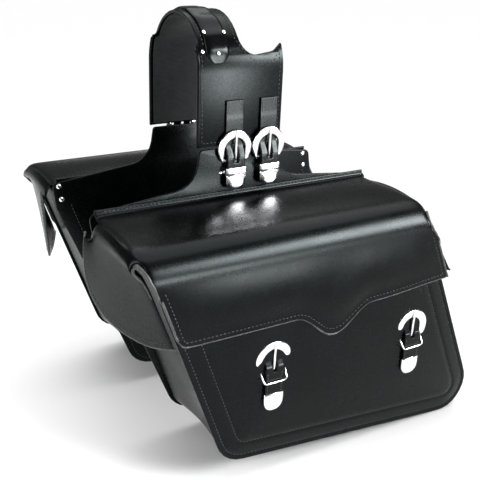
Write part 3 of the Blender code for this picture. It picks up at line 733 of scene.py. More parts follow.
def smooth_path(points: Sequence[tuple[float, ...]], count: int) -> list[Vector]:
    """A smooth line through points, evenly divided.

    Args:
        points: the points it passes.
        count: how many points come back.

    Returns:
        The points along the line.
    """
    knots = [Vector(point) for point in points]
    knots = [knots[0] * 2 - knots[1]] + knots + [knots[-1] * 2 - knots[-2]]
    dense = []
    for before, start, end, after in zip(knots, knots[1:], knots[2:], knots[3:]):
        for step in range(12):
            t = step / 12
            dense.append(0.5 * (
                start * 2 + (end - before) * t + (before * 2 - start * 5 + end * 4 - after) * t ** 2
                + (start * 3 - before - end * 3 + after) * t ** 3))
    dense.append(knots[-2])
    return divide(dense, count, count - 1)


def divide(dense: Sequence[Vector], count: int, parts: int) -> list[Vector]:
    """Evenly spaced points of a line.

    Args:
        dense: the line's own points.
        count: how many points come back, from its start.
        parts: how many equal parts the whole line has.

    Returns:
        The points.
    """
    lengths = [0.0]
    for one, two in zip(dense, dense[1:]):
        lengths.append(lengths[-1] + (two - one).length)
    result = []
    index = 0
    for step in range(count):
        target = lengths[-1] * step / parts
        while index < len(dense) - 2 and lengths[index + 1] < target:
            index += 1
        span = lengths[index + 1] - lengths[index] or 1.0
        result.append(dense[index].lerp(dense[index + 1], (target - lengths[index]) / span))
    return result


def ease(low: float, high: float, value: float) -> float:
    """0 below low, 1 above high, and a smooth rise between."""
    share = min(max((value - low) / (high - low), 0.0), 1.0)
    return share * share * (3 - 2 * share)


# ---------------------------------------------------------------- sizes shared by the pieces

@dataclass(frozen=True)
class BagShape:
    """The bag's outline in millimetres, as the frame has it."""

    top_z: float = -228.0
    front_top_x: float = -193.0
    rear_top_x: float = 200.0
    front_slant: float = math.tan(math.radians(19.8))
    rear_slant: float = math.tan(math.radians(24.2))
    bottom_slope: float = math.tan(math.radians(5.2))
    bottom_z: float = -519.0
    corner: float = 42.0
    back_y: float = -69.5
    front_y: float = -206.0

    def front_x(self, z: float) -> float:
        """Where the slanted front edge is at a height."""
        return self.front_top_x + (self.top_z - z) * self.front_slant

    def rear_x(self, z: float) -> float:
        """Where the slanted rear edge is at a height."""
        return self.rear_top_x + (self.top_z - z) * self.rear_slant

    def corners(self, inset: float) -> list[tuple[float, float]]:
        """The bottom corners, front then rear, moved in by inset."""
        start = self.front_x(self.bottom_z)
        lift = inset / math.cos(math.atan(self.bottom_slope))
        found = []
        ends = ((self.front_x, self.front_slant, 1), (self.rear_x, self.rear_slant, -1))
        for edge, slant, side in ends:
            shift = side * inset / math.cos(math.atan(slant))
            across = edge(self.bottom_z) + shift - start
            rise = (lift - self.bottom_slope * across) / (1 - self.bottom_slope * slant)
            found.append((edge(self.bottom_z + rise) + shift, self.bottom_z + rise))
        return found

    def outline(self, top: float, inset: float, steps: int = 10) -> list[tuple[float, float]]:
        """The open outline from the front top round the bottom to the rear top, as (x, z)."""
        front, rear = self.corners(inset)
        push_front = inset / math.cos(math.atan(self.front_slant))
        push_rear = inset / math.cos(math.atan(self.rear_slant))
        ends = [(self.front_x(top) + push_front, top), front, rear,
                (self.rear_x(top) - push_rear, top)]
        radius = max(self.corner - inset, 6.0)
        points = [ends[0]]
        for before, here, after in zip(ends, ends[1:], ends[2:]):
            points += fillet(before, here, after, radius, steps)
        points.append(ends[-1])
        return points


def fillet(before: Sequence[float], here: Sequence[float], after: Sequence[float],
           radius: float, steps: int) -> list[tuple[float, float]]:
    """An arc of points that rounds one corner of an outline.

    Args:
        before: the corner before.
        here: the corner that is rounded.
        after: the corner after.
        radius: the arc's radius.
        steps: how many parts it has.

    Returns:
        The arc's points.
    """
    corner = Vector(here)
    back = (Vector(before) - corner).normalized()
    ahead = (Vector(after) - corner).normalized()
    half = back.angle(ahead) / 2
    centre = corner + (back + ahead).normalized() * (radius / math.sin(half))
    start = corner + back * (radius / math.tan(half)) - centre
    end = corner + ahead * (radius / math.tan(half)) - centre
    points = []
    for step in range(steps + 1):
        spoke = start.lerp(end, step / steps).normalized() * radius
        points.append(tuple(centre + spoke))
    return points


def even_points(points: Sequence[Sequence[float]], spacing: float) -> list[tuple[float, ...]]:
    """Divide a line of points so that no part is longer than spacing."""
    result = []
    for start, end in zip(points, points[1:]):
        one, two = Vector(start), Vector(end)
        parts = max(1, math.ceil((two - one).length / spacing))
        result += [tuple(one.lerp(two, step / parts)) for step in range(parts)]
    result.append(tuple(points[-1]))
    return result


# ---------------------------------------------------------------- yoke

@dataclass
class Yoke:
    """The leather saddle over the fender, its lining, its edge stitching and the laced band."""

    shop: MeshShop
    radius: float = 69.5
    crest_z: float = -62.0
    front_x: float = -58.0
    rear_x: float = 62.0
    bottom_z: float = -150.0
    ear_z: float = -31.0
    stitch_inset: float = 5.0
    band_front: float = -47.0
    band_rear: float = -14.0
    band_rise: float = 3.4
    stud_spots: tuple[tuple[float, float, float], ...] = (
        (-50.5, 23, 0.3), (-44.0, 42, 3.6), (-17.0, 41, 3.6), (-31.0, 20, 3.6))

    def spot(self, x: float, run: float, out: float = 0.0) -> tuple[Vector, Vector]:
        """A point on the near half of the arch and the normal there.

        Args:
            x: where it is along the fender.
            run: the way along the arch, from the leg's bottom to past the crest.
            out: how far out from the leather.

        Returns:
            The point and the outward normal.
        """
        leg = self.crest_z - self.bottom_z
        if run <= leg:
            normal = Vector((0, -1, 0))
            return Vector((x, -self.radius - out, self.bottom_z + run)), normal
        angle = (run - leg) / self.radius
        normal = Vector((0, -math.cos(angle), math.sin(angle)))
        return Vector((x, 0, self.crest_z)) + normal * (self.radius + out), normal

    def run_at(self, z: float) -> float:
        """The way along the arch at which the near half is at a height."""
        if z <= self.crest_z:
            return z - self.bottom_z
        return self.crest_z - self.bottom_z + self.radius * math.asin(
            min((z - self.crest_z) / self.radius, 1.0))

    def seam(self, stops: Sequence[tuple[float, float]]) -> Seam:
        """A row of stitches through (x, run) stops on the near half."""
        spots = [self.spot(x, run, 0.15) for x, run in even_points(stops, 6.0)]
        return Seam([point for point, _ in spots], [normal for _, normal in spots])

    def edge_seams(self) -> list[Seam]:
        """The stitching along the leather's edges."""
        inset = self.stitch_inset
        low, ear = inset, self.run_at(self.ear_z) - inset
        crest = self.crest_z - self.bottom_z + self.radius * math.pi / 2
        front, rear = self.front_x + inset, self.rear_x - inset
        dip = self.run_at(-46.0) - inset
        return [
            self.seam([(front, ear - 2), (front, low), (rear, low), (rear, ear - 2)]),
            self.seam([(front + 4.6, ear + 8), (-48.0, crest)]),
            self.seam([(rear, ear - 2), (48.0, dip), (24.0, dip), (8.0, dip + 12),
                       (-3.0, ear + 14), (-3.0, crest)]),
        ]

    def rolled_edge(self, side: Side) -> bpy.types.Object:
        """The bound bead down the leg's front edge."""
        x, high = self.front_x + 0.6, self.run_at(self.ear_z) - 2
        stops = even_points([(x, 0.8), (x, high)], 8.0)
        path = [self.spot(x, run, -1.4)[0] for x, run in stops]
        shape = MeshShop.round_tube(path, 2.5, 12)
        bead = self.shop.piece(
            f"{side.word}_yoke_bead", shape, self.shop.finishes.leather, Slot.LEATHER, side)
        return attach(bead, "yoke")

    def band(self) -> bpy.types.Object:
        """The raised laced band that crosses the crest."""
        quarter = self.crest_z - self.bottom_z + self.radius * math.pi / 2
        start = self.run_at(self.crest_z) + 12

        def place(share: float, across: float) -> Vector:
            """A point of the band; it thins out at both its ends."""
            run = start + (2 * (quarter - start)) * share
            near = run <= quarter
            rise = self.band_rise * ease(0.0, 0.10, min(share, 1 - share)) + 0.4
            ripple = 0.7 * math.sin(share * 46.0) * ease(0.1, 0.2, min(share, 1 - share))
            edge = 1 - abs(across * 2 - 1) ** 6
            spread = 0.35 + 0.65 * math.sqrt(ease(0.0, 0.07, min(share, 1 - share)))
            middle = (self.band_front + self.band_rear) / 2
            x = middle + (self.band_rear - self.band_front) * (across - 0.5) * spread
            out = rise * (0.4 + 0.6 * edge) + ripple * edge
            point, _ = self.spot(x, run if near else 2 * quarter - run, out)
            return point if near else Vector((point.x, -point.y, point.z))

        shape = MeshShop.sheet(60, 10, place)
        MeshShop.face_towards(shape, Vector((-30, 0, 20)), Vector((0, 0, 1)))
        band = self.shop.piece(
            "yoke_band", shape, self.shop.finishes.strap, Slot.LEATHER)
        MeshShop.thicken(band, 2.2, -1.0)
        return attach(band, "yoke")

    def studs(self, side: Side) -> bpy.types.Object:
        """The small round studs on and beside the band."""
        shape = bmesh.new()
        leg = self.crest_z - self.bottom_z
        for x, degrees, out in self.stud_spots:
            point, normal = self.spot(x, leg + math.radians(degrees) * self.radius, out)
            MeshShop.add(shape, MeshShop.rivet(point, normal, 2.6, 1.3))
        studs = self.shop.piece(
            f"{side.word}_yoke_studs", shape, self.shop.finishes.metal, Slot.HARDWARE, side)
        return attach(studs, "yoke")

    def build(self) -> None:
        """Make the yoke's pieces."""
        leather = self.shop.copy_of_node(
            "yoke_leather", "yoke_saddle_leather", self.shop.finishes.leather, Slot.LEATHER, 1.35)
        felt = self.shop.copy_of_node(
            "yoke_felt", "yoke_lining", self.shop.finishes.felt, Slot.LINING, 0.8)
        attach(leather, "yoke")
        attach(felt, "yoke")
        self.band()
        thread = Thread(self.shop)
        for side in Side:
            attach(thread.sew(f"{side.word}_yoke_stitches", self.edge_seams(), side), "yoke")
            self.rolled_edge(side)
            self.studs(side)
        LOG.info("yoke: leather, lining, band, beads, stitches and studs")


# ---------------------------------------------------------------- bag body

@dataclass
class BagBody:
    """One bag's back panel, gusset, front panel and stiffener."""

    shop: MeshShop
    side: Side
    shape: BagShape = field(default_factory=BagShape)
    gusset_inset: float = 4.0
    gusset_top: float = -246.0
    gusset_sag: float = 4.5
    panel_top: float = -252.0
    panel_leather: float = 3.5
    swell: float = 5.0
    border: float = 27.0
    seam_inset: float = 7.5
    ring_points: int = 132
    panel_insets: tuple[float, ...] = (
        0.9, 2.2, 4.5, 6.2, 7.5, 8.8, 11, 15, 19, 23, 25.2, 27, 28.8, 31, 36, 43, 52, 62, 74, 86,
        96)
    face_rivets: tuple[tuple[float, float], ...] = ((-25.0, -186.0), (59.0, -186.0))
    ear_rivets: tuple[tuple[float, float], ...] = (
        (-194.0, -219.5), (-191.0, -238.0), (199.0, -219.5), (201.0, -238.0))

    @property
    def word(self) -> str:
        """The side's name."""
        return self.side.word

    def keep(self, obj: bpy.types.Object) -> bpy.types.Object:
        """Let a piece ride on this bag."""
        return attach(obj, f"{self.word}_bag")

    def ring(self, inset: float) -> list[Vector]:
        """The front panel's closed outline moved in by inset, evenly divided, as (x, z) at y 0."""
        top = self.panel_top - inset
        outline = self.shape.outline(top, inset)
        corners = [(outline[0][0], top), *outline[1:-1], (outline[-1][0], top)]
        corners.append(corners[0])
        dense = [Vector(point) for point in even_points(corners, 3.0)]
        spots = divide(dense, self.ring_points, self.ring_points)
        return [Vector((spot.x, 0, spot.y)) for spot in spots]

    def swell_at(self, inset: float) -> float:
        """How far the front panel stands out at a distance from its edge."""
        groove = 0.9 * math.exp(-((inset - self.border) / 2.4) ** 2)
        edge_groove = 0.7 * math.exp(-((inset - self.seam_inset) / 1.6) ** 2)
        rise = self.swell * ease(2.0, 95.0, inset) + 1.2 * ease(9.0, 22.0, inset)
        return rise - groove - edge_groove

    def front_panel(self) -> None:
        """The front panel, swelling a little between its sewn edges."""
        front = self.shape.front_y
        back = front + self.panel_leather
        loops = [
            [Vector((p.x, back, p.z)) for p in self.ring(2.0)],
            [Vector((p.x, back, p.z)) for p in self.ring(0.7)],
            [Vector((p.x, back - 0.7, p.z)) for p in self.ring(0.0)],
            [Vector((p.x, front + 0.9, p.z)) for p in self.ring(0.0)],
        ]
        for inset in self.panel_insets:
            y = front - self.swell_at(inset)
            loops.append([Vector((p.x, y, p.z)) for p in self.ring(inset)])
        panel = self.shop.piece(
            f"{self.word}_front_leather", MeshShop.loft(loops), self.shop.finishes.leather,
            Slot.LEATHER, self.side)
        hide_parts(f"{self.word}_front_panel")
        self.keep(panel)

    def gusset(self) -> None:
        """The strip round the bag's ends and bottom, sagging in between its seams."""
        line = even_points(self.shape.outline(self.gusset_top, self.gusset_inset), 9.0)
        points = [Vector((x, 0, z)) for x, z in line]
        back, front = self.shape.back_y - 0.4, self.shape.front_y + self.panel_leather + 0.4

        def place(along: float, across: float) -> Vector:
            """A point of the strip."""
            index = along * (len(points) - 1)
            low = min(int(round(index)), len(points) - 1)
            here = points[low]
            run = points[min(low + 1, len(points) - 1)] - points[max(low - 1, 0)]
            inward = Vector((-run.z, 0, run.x)).normalized()
            sag = self.gusset_sag * math.sin(math.pi * across) ** 1.4
            lip = 1.2 * (math.exp(-(across / 0.05) ** 2) + math.exp(-((1 - across) / 0.05) ** 2))
            end = ease(0.0, 0.06, min(along, 1 - along))
            return here + inward * (sag * (0.35 + 0.65 * end) - lip) + Vector(
                (0, back + (front - back) * across, 0))

        shape = MeshShop.sheet(len(points) - 1, 22, place)
        middle = place(0.15, 0.5)
        MeshShop.face_towards(shape, middle, Vector((-1, 0, -0.3)))
        strip = self.shop.piece(
            f"{self.word}_gusset_leather", shape, self.shop.finishes.leather, Slot.LEATHER,
            self.side)
        MeshShop.thicken(strip, 3.0, -1.0)
        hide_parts(f"{self.word}_gusset")
        self.keep(strip)

    def seams(self) -> list[Seam]:
        """The stitches on the front panel, the gusset's two edges and the back panel."""
        rows = []
        face = Vector((0, -1, 0))
        for inset in (self.seam_inset, self.border):
            loop = self.ring(inset)
            y = self.shape.front_y - self.swell_at(inset) - 0.12
            path = [Vector((p.x, y, p.z)) for p in loop if p.z < self.panel_top - inset - 1]
            start = max(range(len(path)), key=lambda i: (path[i] - path[i - 1]).length)
            path = path[start:] + path[:start]
            rows.append(Seam(path, [face] * len(path)))
        line = [Vector((x, 0, z)) for x, z in even_points(
            self.shape.outline(self.gusset_top - 4, self.gusset_inset), 9.0)]
        for y in (self.shape.back_y - 7.0, self.shape.front_y + self.panel_leather + 7.0):
            normals = []
            path = []
            for index, here in enumerate(line):
                run = line[min(index + 1, len(line) - 1)] - line[max(index - 1, 0)]
                outward = Vector((run.z, 0, -run.x)).normalized()
                normals.append(outward)
                path.append(here + Vector((0, y, 0)) + outward * -0.35)
            rows.append(Seam(path, normals))
        inner = self.shape.back_y + self.panel_leather + 0.15
        back = [Vector((x, inner, z)) for x, z in even_points(
            self.shape.outline(self.gusset_top, self.gusset_inset + 3.5), 9.0)]
        rows.append(Seam(back, [Vector((0, 1, 0))] * len(back)))
        return rows

    def rivets(self) -> None:
        """The rivets on the back panel's ears and beside the yoke straps' ends."""
        shape = bmesh.new()
        face = self.shape.back_y
        for x, z in self.face_rivets:
            MeshShop.add(shape, MeshShop.rivet(
                Vector((x, face, z)), Vector((0, -1, 0)), 2.6, 1.4))
        for x, z in self.ear_rivets:
            MeshShop.add(shape, MeshShop.rivet(
                Vector((x, face + self.panel_leather, z)), Vector((0, 1, 0)), 3.6, 1.3))
        rivets = self.shop.piece(
            f"{self.word}_panel_rivets", shape, self.shop.finishes.metal, Slot.HARDWARE, self.side)
        self.keep(rivets)

    def build(self) -> None:
        """Make the bag body's pieces."""
        finishes = self.shop.finishes
        self.keep(self.shop.copy_of_node(
            f"{self.word}_back_panel", f"{self.word}_back_leather", finishes.leather,
            Slot.LEATHER, 1.2))
        self.keep(self.shop.copy_of_node(
            f"{self.word}_back_stiffener", f"{self.word}_board", finishes.board, Slot.BOARD, 0.6))
        self.gusset()
        self.front_panel()
        self.keep(Thread(self.shop).sew(f"{self.word}_bag_stitches", self.seams(), self.side))
        self.rivets()
        LOG.info("%s bag: back, board, gusset, front, stitches and rivets", self.word)


# ---------------------------------------------------------------- lid

@dataclass
class Lid:
    """One bag's lid: top, front flap and two end flaps of one sheet."""

    shop: MeshShop
    side: Side
    shape: BagShape = field(default_factory=BagShape)
    leather: float = 3.5
    left_x: float = -197.0
    right_x: float = 204.0
    top_z: float = -217.5
    dome: float = 5.0
    end_bend: float = 22.0
    front_bend: float = 38.0
    end_split: float = math.radians(30)
    front_split: float = math.radians(36)
    front_y: float = -214.0
    back_y: float = -72.0
    hem_z: float = -334.0
    hem_rear_rise: float = 8.0
    tongue_z: float = -368.0
    tongue_x: float = 62.0
    tongue_half: float = 58.0
    flange_top: float = -209.5
    flare: float = 7.0
    bulge: float = 4.5

    def end_drop(self, x: float) -> float:
        """How far the end bend has fallen at x, up to its half-way line."""
        reach = self.end_bend * math.sin(self.end_split)
        near = min(x - self.left_x, self.right_x - x)
        inside = max(reach - max(near, 0.0), 0.0)
        return self.end_bend - math.sqrt(self.end_bend ** 2 - inside ** 2)

    def top_profile(self, v: float) -> tuple[float, float]:
        """The (y, z) of the top from its sewn flange, 0, to where the slits start, 1."""
        knots = [(self.back_y, self.flange_top), (self.back_y - 0.2, self.flange_top - 5.0),
                 (self.back_y - 3.4, self.top_z + 0.6), (self.back_y - 12.0, self.top_z + 0.8)]
        if v <= 0.12:
            spot = v / 0.12 * (len(knots) - 1)
            index = min(int(spot), len(knots) - 2)
            part = spot - index
            one, two = knots[index], knots[index + 1]
            return one[0] + (two[0] - one[0]) * part, one[1] + (two[1] - one[1]) * part
        flat_end = self.front_y + self.front_bend
        if v <= 0.84:
            share = (v - 0.12) / 0.72
            y = knots[-1][0] + (flat_end - knots[-1][0]) * share
            return y, self.top_z + 0.8 * (1 - share) + self.dome * math.sin(math.pi * share) ** 0.9
        angle = self.front_split * (v - 0.84) / 0.16
        return (flat_end - self.front_bend * math.sin(angle),
                self.top_z - self.front_bend * (1 - math.cos(angle)))

    def hem(self, x: float) -> float:
        """The hem's height at x, with its tongue and round ends."""
        left, right = self.shape.front_x(self.hem_z) - 1.0, self.shape.rear_x(self.hem_z) + 5.0
        z = self.hem_z + self.hem_rear_rise * ease(120.0, right, x)
        share = (x - self.tongue_x + self.tongue_half) / (2 * self.tongue_half)
        if 0 < share < 1:
            z += (self.tongue_z - self.hem_z) * (1 - math.cos(2 * math.pi * share)) / 2
        for edge in (x - left, right - x):
            rest = max(11.0 - max(edge, 0.0), 0.0)
            z += 11.0 - math.sqrt(max(121.0 - rest * rest, 0.0))
        return z

    def front(self, u: float, f: float) -> Vector:
        """A point of the front flap: u across, f from half-way round the bend down to the hem."""
        bend_share = 0.14
        flat = min(max(u, 0.0), 1.0)
        bend_z = self.top_z - self.front_bend
        if f < bend_share:
            angle = self.front_split + (math.pi / 2 - self.front_split) * f / bend_share
            y = self.front_y + self.front_bend * (1 - math.sin(angle))
            z = self.top_z - self.front_bend * (1 - math.cos(angle))
            down = 0.0
        else:
            down = (f - bend_share) / (1 - bend_share)
            guess = self.left_x + (self.right_x - self.left_x) * flat
            z = bend_z
            for _ in range(6):
                left, right = self.front_ends(z)
                guess = left + (right - left) * flat
                z = bend_z + (self.hem(guess) - bend_z) * down
            y = self.front_y
        left, right = self.front_ends(z)
        x = left + (right - left) * flat
        puff = math.sin(math.pi * min(down * 1.1, 1.0)) * (1 - abs(2 * flat - 1) ** 3)
        drop = self.end_drop(self.left_x + (self.right_x - self.left_x) * flat)
        wave = 0.8 * math.sin(flat * 9.0 + 0.6) * down
        lip = 1.1 * ease(0.82, 1.0, down)
        x += self.relief(f * 120.0, True) * max(0.0, 1 - flat / 0.05) ** 2
        x -= self.relief(f * 120.0, False) * max(0.0, 1 - (1 - flat) / 0.05) ** 2
        y -= self.bulge * puff + wave * 0.6 + lip
        return Vector((x, y, z - drop * (1 - ease(0.0, 0.5, f))))

    def front_ends(self, z: float) -> tuple[float, float]:
        """The front flap's left and right edges at a height."""
        start = self.top_z - self.front_bend * (1 - math.cos(self.front_split))
        share = min(max((start - z) / 42.0, 0.0), 1.0)
        share = share * share * (3 - 2 * share)
        left = self.left_x + (self.shape.front_x(z) - 1.0 - self.left_x) * share
        right = self.right_x + (self.shape.rear_x(z) + 5.0 - self.right_x) * share
        return left, right

    @staticmethod
    def relief(run: float, left: bool) -> float:
        """How far the slit's edge draws back round its top, at a way down from the corner."""
        share = min(max(run / 27.0, 0.0), 1.0)
        return (5.0 if left else 2.0) * math.sin(math.pi * share ** 0.55) ** 0.7

    def flap_low(self, w: float) -> tuple[float, float]:
        """The end flap's lower edge, from its back, w 0, to its front, w 1, as (y, z)."""
        knots = smooth_path(
            ((-84.0, -228.0), (-78.0, -250.0), (-75.0, -275.0), (-77.0, -299.0), (-87.0, -318.0),
             (-108.0, -333.0), (-140.0, -343.0), (-175.0, -346.0), (-208.0, -338.0)), 33)
        spot = w * 32
        index = min(int(spot), 31)
        point = knots[index].lerp(knots[index + 1], spot - index)
        return point.x, point.y

    def end(self, left: bool, t: float, v: float) -> Vector:
        """A point of an end flap.

        Args:
            left: the flap at the front end.
            t: from half-way round the end bend, 0, to its edge, 1.
            v: where it starts along the top's profile.

        Returns:
            The point.
        """
        y, top = self.top_profile(v)
        sign = -1 if left else 1
        edge = self.left_x if left else self.right_x
        reach = self.end_bend * math.sin(self.end_split)
        centre_x, centre_z = edge - sign * reach, top - self.end_bend
        bend_share = 0.12
        w = max((v - 0.12) / 0.88, 0.0)
        hole = self.relief(t * 110.0, left) * max(0.0, 1 - (1 - w) / 0.16) ** 2
        if t < bend_share:
            angle = self.end_split + (math.pi / 2 - self.end_split) * t / bend_share
            return Vector((centre_x + sign * self.end_bend * math.sin(angle), y + hole,
                           centre_z + self.end_bend * math.cos(angle)))
        down = (t - bend_share) / (1 - bend_share)
        low_y, low_z = self.flap_low(w)
        if not left:
            low_z = self.top_z + (low_z - self.top_z) * 0.84
        z = centre_z + (low_z - centre_z) * down
        here_y = y + (low_y - y) * down ** 0.85
        outside = centre_x + sign * self.end_bend
        if left:
            follow = self.shape.front_x(z) - 6.0
            hug = max(follow - outside, 0.0) * w ** 2.2
            out = -self.flare * (1 - w ** 1.5) * math.sin(down * math.pi / 2) ** 1.3
            x = outside + hug + out
        else:
            follow = self.shape.rear_x(z) + 8.0
            x = max(follow, outside) + (5.0 + 4.0 * w) * down
        cup = 1.5 * math.sin(math.pi * w) * down
        return Vector((x + sign * cup, here_y + hole, z))

    def place(self, u: float, v: float) -> Vector:
        """A point of the whole sheet.

        Args:
            u: below 0 and above 1 are the end flaps.
            v: above 1 is the front flap.

        Returns:
            The point on the outer face.
        """
        if u < 0:
            return self.end(True, -u, min(v, 1.0))
        if u > 1:
            return self.end(False, u - 1, min(v, 1.0))
        if v > 1:
            return self.front(u, v - 1)
        y, z = self.top_profile(v)
        x = self.left_x + (self.right_x - self.left_x) * u
        arch = 1 - abs(2 * u - 1) ** 4
        lift = z - self.top_z if 0.12 < v < 0.84 else 0.0
        fall = self.end_drop(x) * ease(0.0, 0.12, v)
        return Vector((x, y, z - lift * (1 - arch) * 0.8 - fall))

    def stations(self) -> tuple[list[float], list[float]]:
        """The stations of the sheet's two ways, closer together at its bends and edges."""
        flap = [1.0, 0.985, 0.95, 0.88, 0.8, 0.7, 0.6, 0.5, 0.4, 0.3, 0.2, 0.16, 0.12, 0.09, 0.06,
                0.035, 0.015]
        top = [0.0, 0.005, 0.011, 0.018] + [0.018 + 0.964 * step / 44 for step in range(1, 44)]
        top += [0.982, 0.989, 0.995, 1.0]
        us = [-t for t in flap] + top + [1 + t for t in flap[::-1]]
        vs = [0.0, 0.01, 0.04, 0.06, 0.08, 0.10, 0.12]
        vs += [0.12 + 0.72 * step / 14 for step in range(1, 15)]
        vs += [0.88, 0.92, 0.96, 1.0]
        vs += [1.015, 1.035, 1.06, 1.09, 1.115, 1.14]
        vs += [1.14 + 0.80 * step / 12 for step in range(1, 13)]
        vs += [1.965, 1.99, 2.0]
        return us, vs

    def sheet(self) -> None:
        """The lid's one sheet."""
        us, vs = self.stations()
        shape = bmesh.new()
        bmesh.ops.create_grid(shape, x_segments=len(us) - 1, y_segments=len(vs) - 1, size=1.0)
        share: dict[bmesh.types.BMVert, tuple[float, float]] = {}
        for vert in shape.verts:
            u = us[round((vert.co.x + 1) / 2 * (len(us) - 1))]
            v = vs[round((vert.co.y + 1) / 2 * (len(vs) - 1))]
            share[vert] = (u, v)
            vert.co = self.place(u, v)
        gone = []
        for face in shape.faces:
            middle_u = sum(share[vert][0] for vert in face.verts) / 4
            middle_v = sum(share[vert][1] for vert in face.verts) / 4
            if (middle_u < 0 or middle_u > 1) and (middle_v > 1 or middle_v < 0.12):
                gone.append(face)
        bmesh.ops.delete(shape, geom=gone, context="FACES")
        bmesh.ops.remove_doubles(shape, verts=shape.verts, dist=0.01)
        MeshShop.face_towards(shape, Vector((0, -140, -225)), Vector((0, 0, 1)))
        lid = self.shop.piece(
            f"{self.side.word}_lid_leather", shape, self.shop.finishes.leather,
            Slot.LEATHER, self.side)
        MeshShop.thicken(lid, self.leather, -1.0)
        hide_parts(f"{self.side.word}_lid")
        self.bend(lid)

    def bend(self, obj: bpy.types.Object) -> None:
        """Bake a piece's transform into its mesh."""
        f"{self.side.word}_bag"
        f"{self.side.word}_lid"
        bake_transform(obj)

    def normal(self, u: float, v: float) -> Vector:
        """The sheet's outward normal."""
        step = 0.004
        along = self.place(u + step, v) - self.place(u - step, v)
        down = self.place(u, v + step) - self.place(u, v - step)
        return down.cross(along).normalized()

    def row(self, stops: Sequence[tuple[float, float]]) -> Seam:
        """A row of stitches through (u, v) stops on the sheet."""
        points, normals = [], []
        for u, v in stops:
            way = self.normal(u, v)
            middle = Vector((0, -140, -290))
            point = self.place(u, v)
            if way.dot(point - middle) < 0:
                way = -way
            points.append(point + way * 0.1)
            normals.append(way)
        return Seam(points, normals)

    def seams(self) -> list[Seam]:
        """The stitches along the hem, the end flaps' edges and the front flap's ends."""
        hem = [(0.022 + 0.956 * step / 120, 1.935) for step in range(121)]
        rows = [self.row(hem)]
        for flap in (-0.93, 1.93):
            rows.append(self.row([(flap, 0.17 + 0.79 * step / 50) for step in range(51)]))
        for end in (0.022, 0.978):
            rows.append(self.row([(end, 1.935 - 0.72 * step / 30) for step in range(31)]))
        return rows

    def edges(self) -> None:
        """The burnished edges of the hem, the front flap's ends and the end flaps; their pale
        finish is partly rubbed wear and partly a painted highlight.
        """
        hem_way = [(step / 160, 2.0) for step in range(161)]
        left_way = [(0.0, 2.0 - 0.66 * step / 30) for step in range(31)]
        right_way = [(1.0, 2.0 - 0.66 * step / 30) for step in range(31)]
        flaps = [[(end, 0.125 + 0.875 * step / 70) for step in range(71)] for end in (-1.0, 2.0)]
        shape = bmesh.new()
        for way in (left_way[::-1] + hem_way[1:] + right_way[1:], *flaps):
            row = self.row(way)
            path = [point - normal * (self.leather / 2 + 0.1)
                    for point, normal in zip(row.points, row.normals)]
            MeshShop.add(shape, MeshShop.round_tube(path, self.leather / 2 - 0.1, 8))
        # the edge finish's pale colour is partly a painted highlight along these edges
        edges = self.shop.piece(
            f"{self.side.word}_lid_edges", shape, self.shop.finishes.edge, Slot.LEATHER,
            self.side)
        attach(edges, f"{self.side.word}_lid")

    def lips(self) -> None:
        """The raised puckered lips round the tops of the slits, in the pale edge finish as a
        painted highlight on their rims.
        """
        shape = bmesh.new()
        for left in (True, False):
            sign = -1 if left else 1
            u = 0.0 if left else 1.0
            flap = -1.0 if left else 1.0
            over = [self.place(u + flap * 0.03 * step, 1.0) for step in range(12, 0, -1)]
            over.append(self.place(u, 1.0))
            over += [self.place(u, 1.0 + 0.03 * step) for step in range(1, 13)]
            for _ in range(4):
                over = [over[0]] + [(over[k - 1] + over[k] * 2 + over[k + 1]) / 4
                                    for k in range(1, len(over) - 1)] + [over[-1]]
            path = smooth_path([tuple(point) for point in over], 44)
            pushed = []
            for index, point in enumerate(path):
                share = index / (len(path) - 1)
                bow = math.sin(math.pi * share)
                away = Vector((sign * 0.8, -0.8, 0.25)).normalized()
                pushed.append(point + away * (0.3 + 0.9 * bow))
            MeshShop.add(shape, MeshShop.round_tube(
                pushed, lambda share: 0.5 + 1.3 * math.sin(math.pi * share) ** 0.6
                + 0.22 * math.sin(share * 50.0), 12))
        # the pale edge finish paints the highlight on the puckered rims
        lips = self.shop.piece(
            f"{self.side.word}_lid_lips", shape, self.shop.finishes.edge, Slot.LEATHER,
            self.side)
        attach(lips, f"{self.side.word}_lid")

    def build(self) -> None:
        """Make the lid's pieces."""
        self.sheet()
        stitches = Thread(self.shop).sew(
            f"{self.side.word}_lid_stitches", self.seams(), self.side)
        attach(stitches, f"{self.side.word}_lid")
        self.lips()
        self.edges()
        flange = Seam(
            [Vector((x, self.back_y - 0.3, self.flange_top - 2.6)) for x in (-186.0, 192.0)],
            [Vector((0, -1, 0))] * 2)
        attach(Thread(self.shop).sew(
            f"{self.side.word}_flange_stitches", [flange], self.side), f"{self.side.word}_bag")
        LOG.info("%s lid: sheet, stitches and lips", self.side.word)


# ---------------------------------------------------------------- straps

class End(Enum):
    """Which end of the yoke or bag a strap is at."""

    FRONT = "front"
    REAR = "rear"


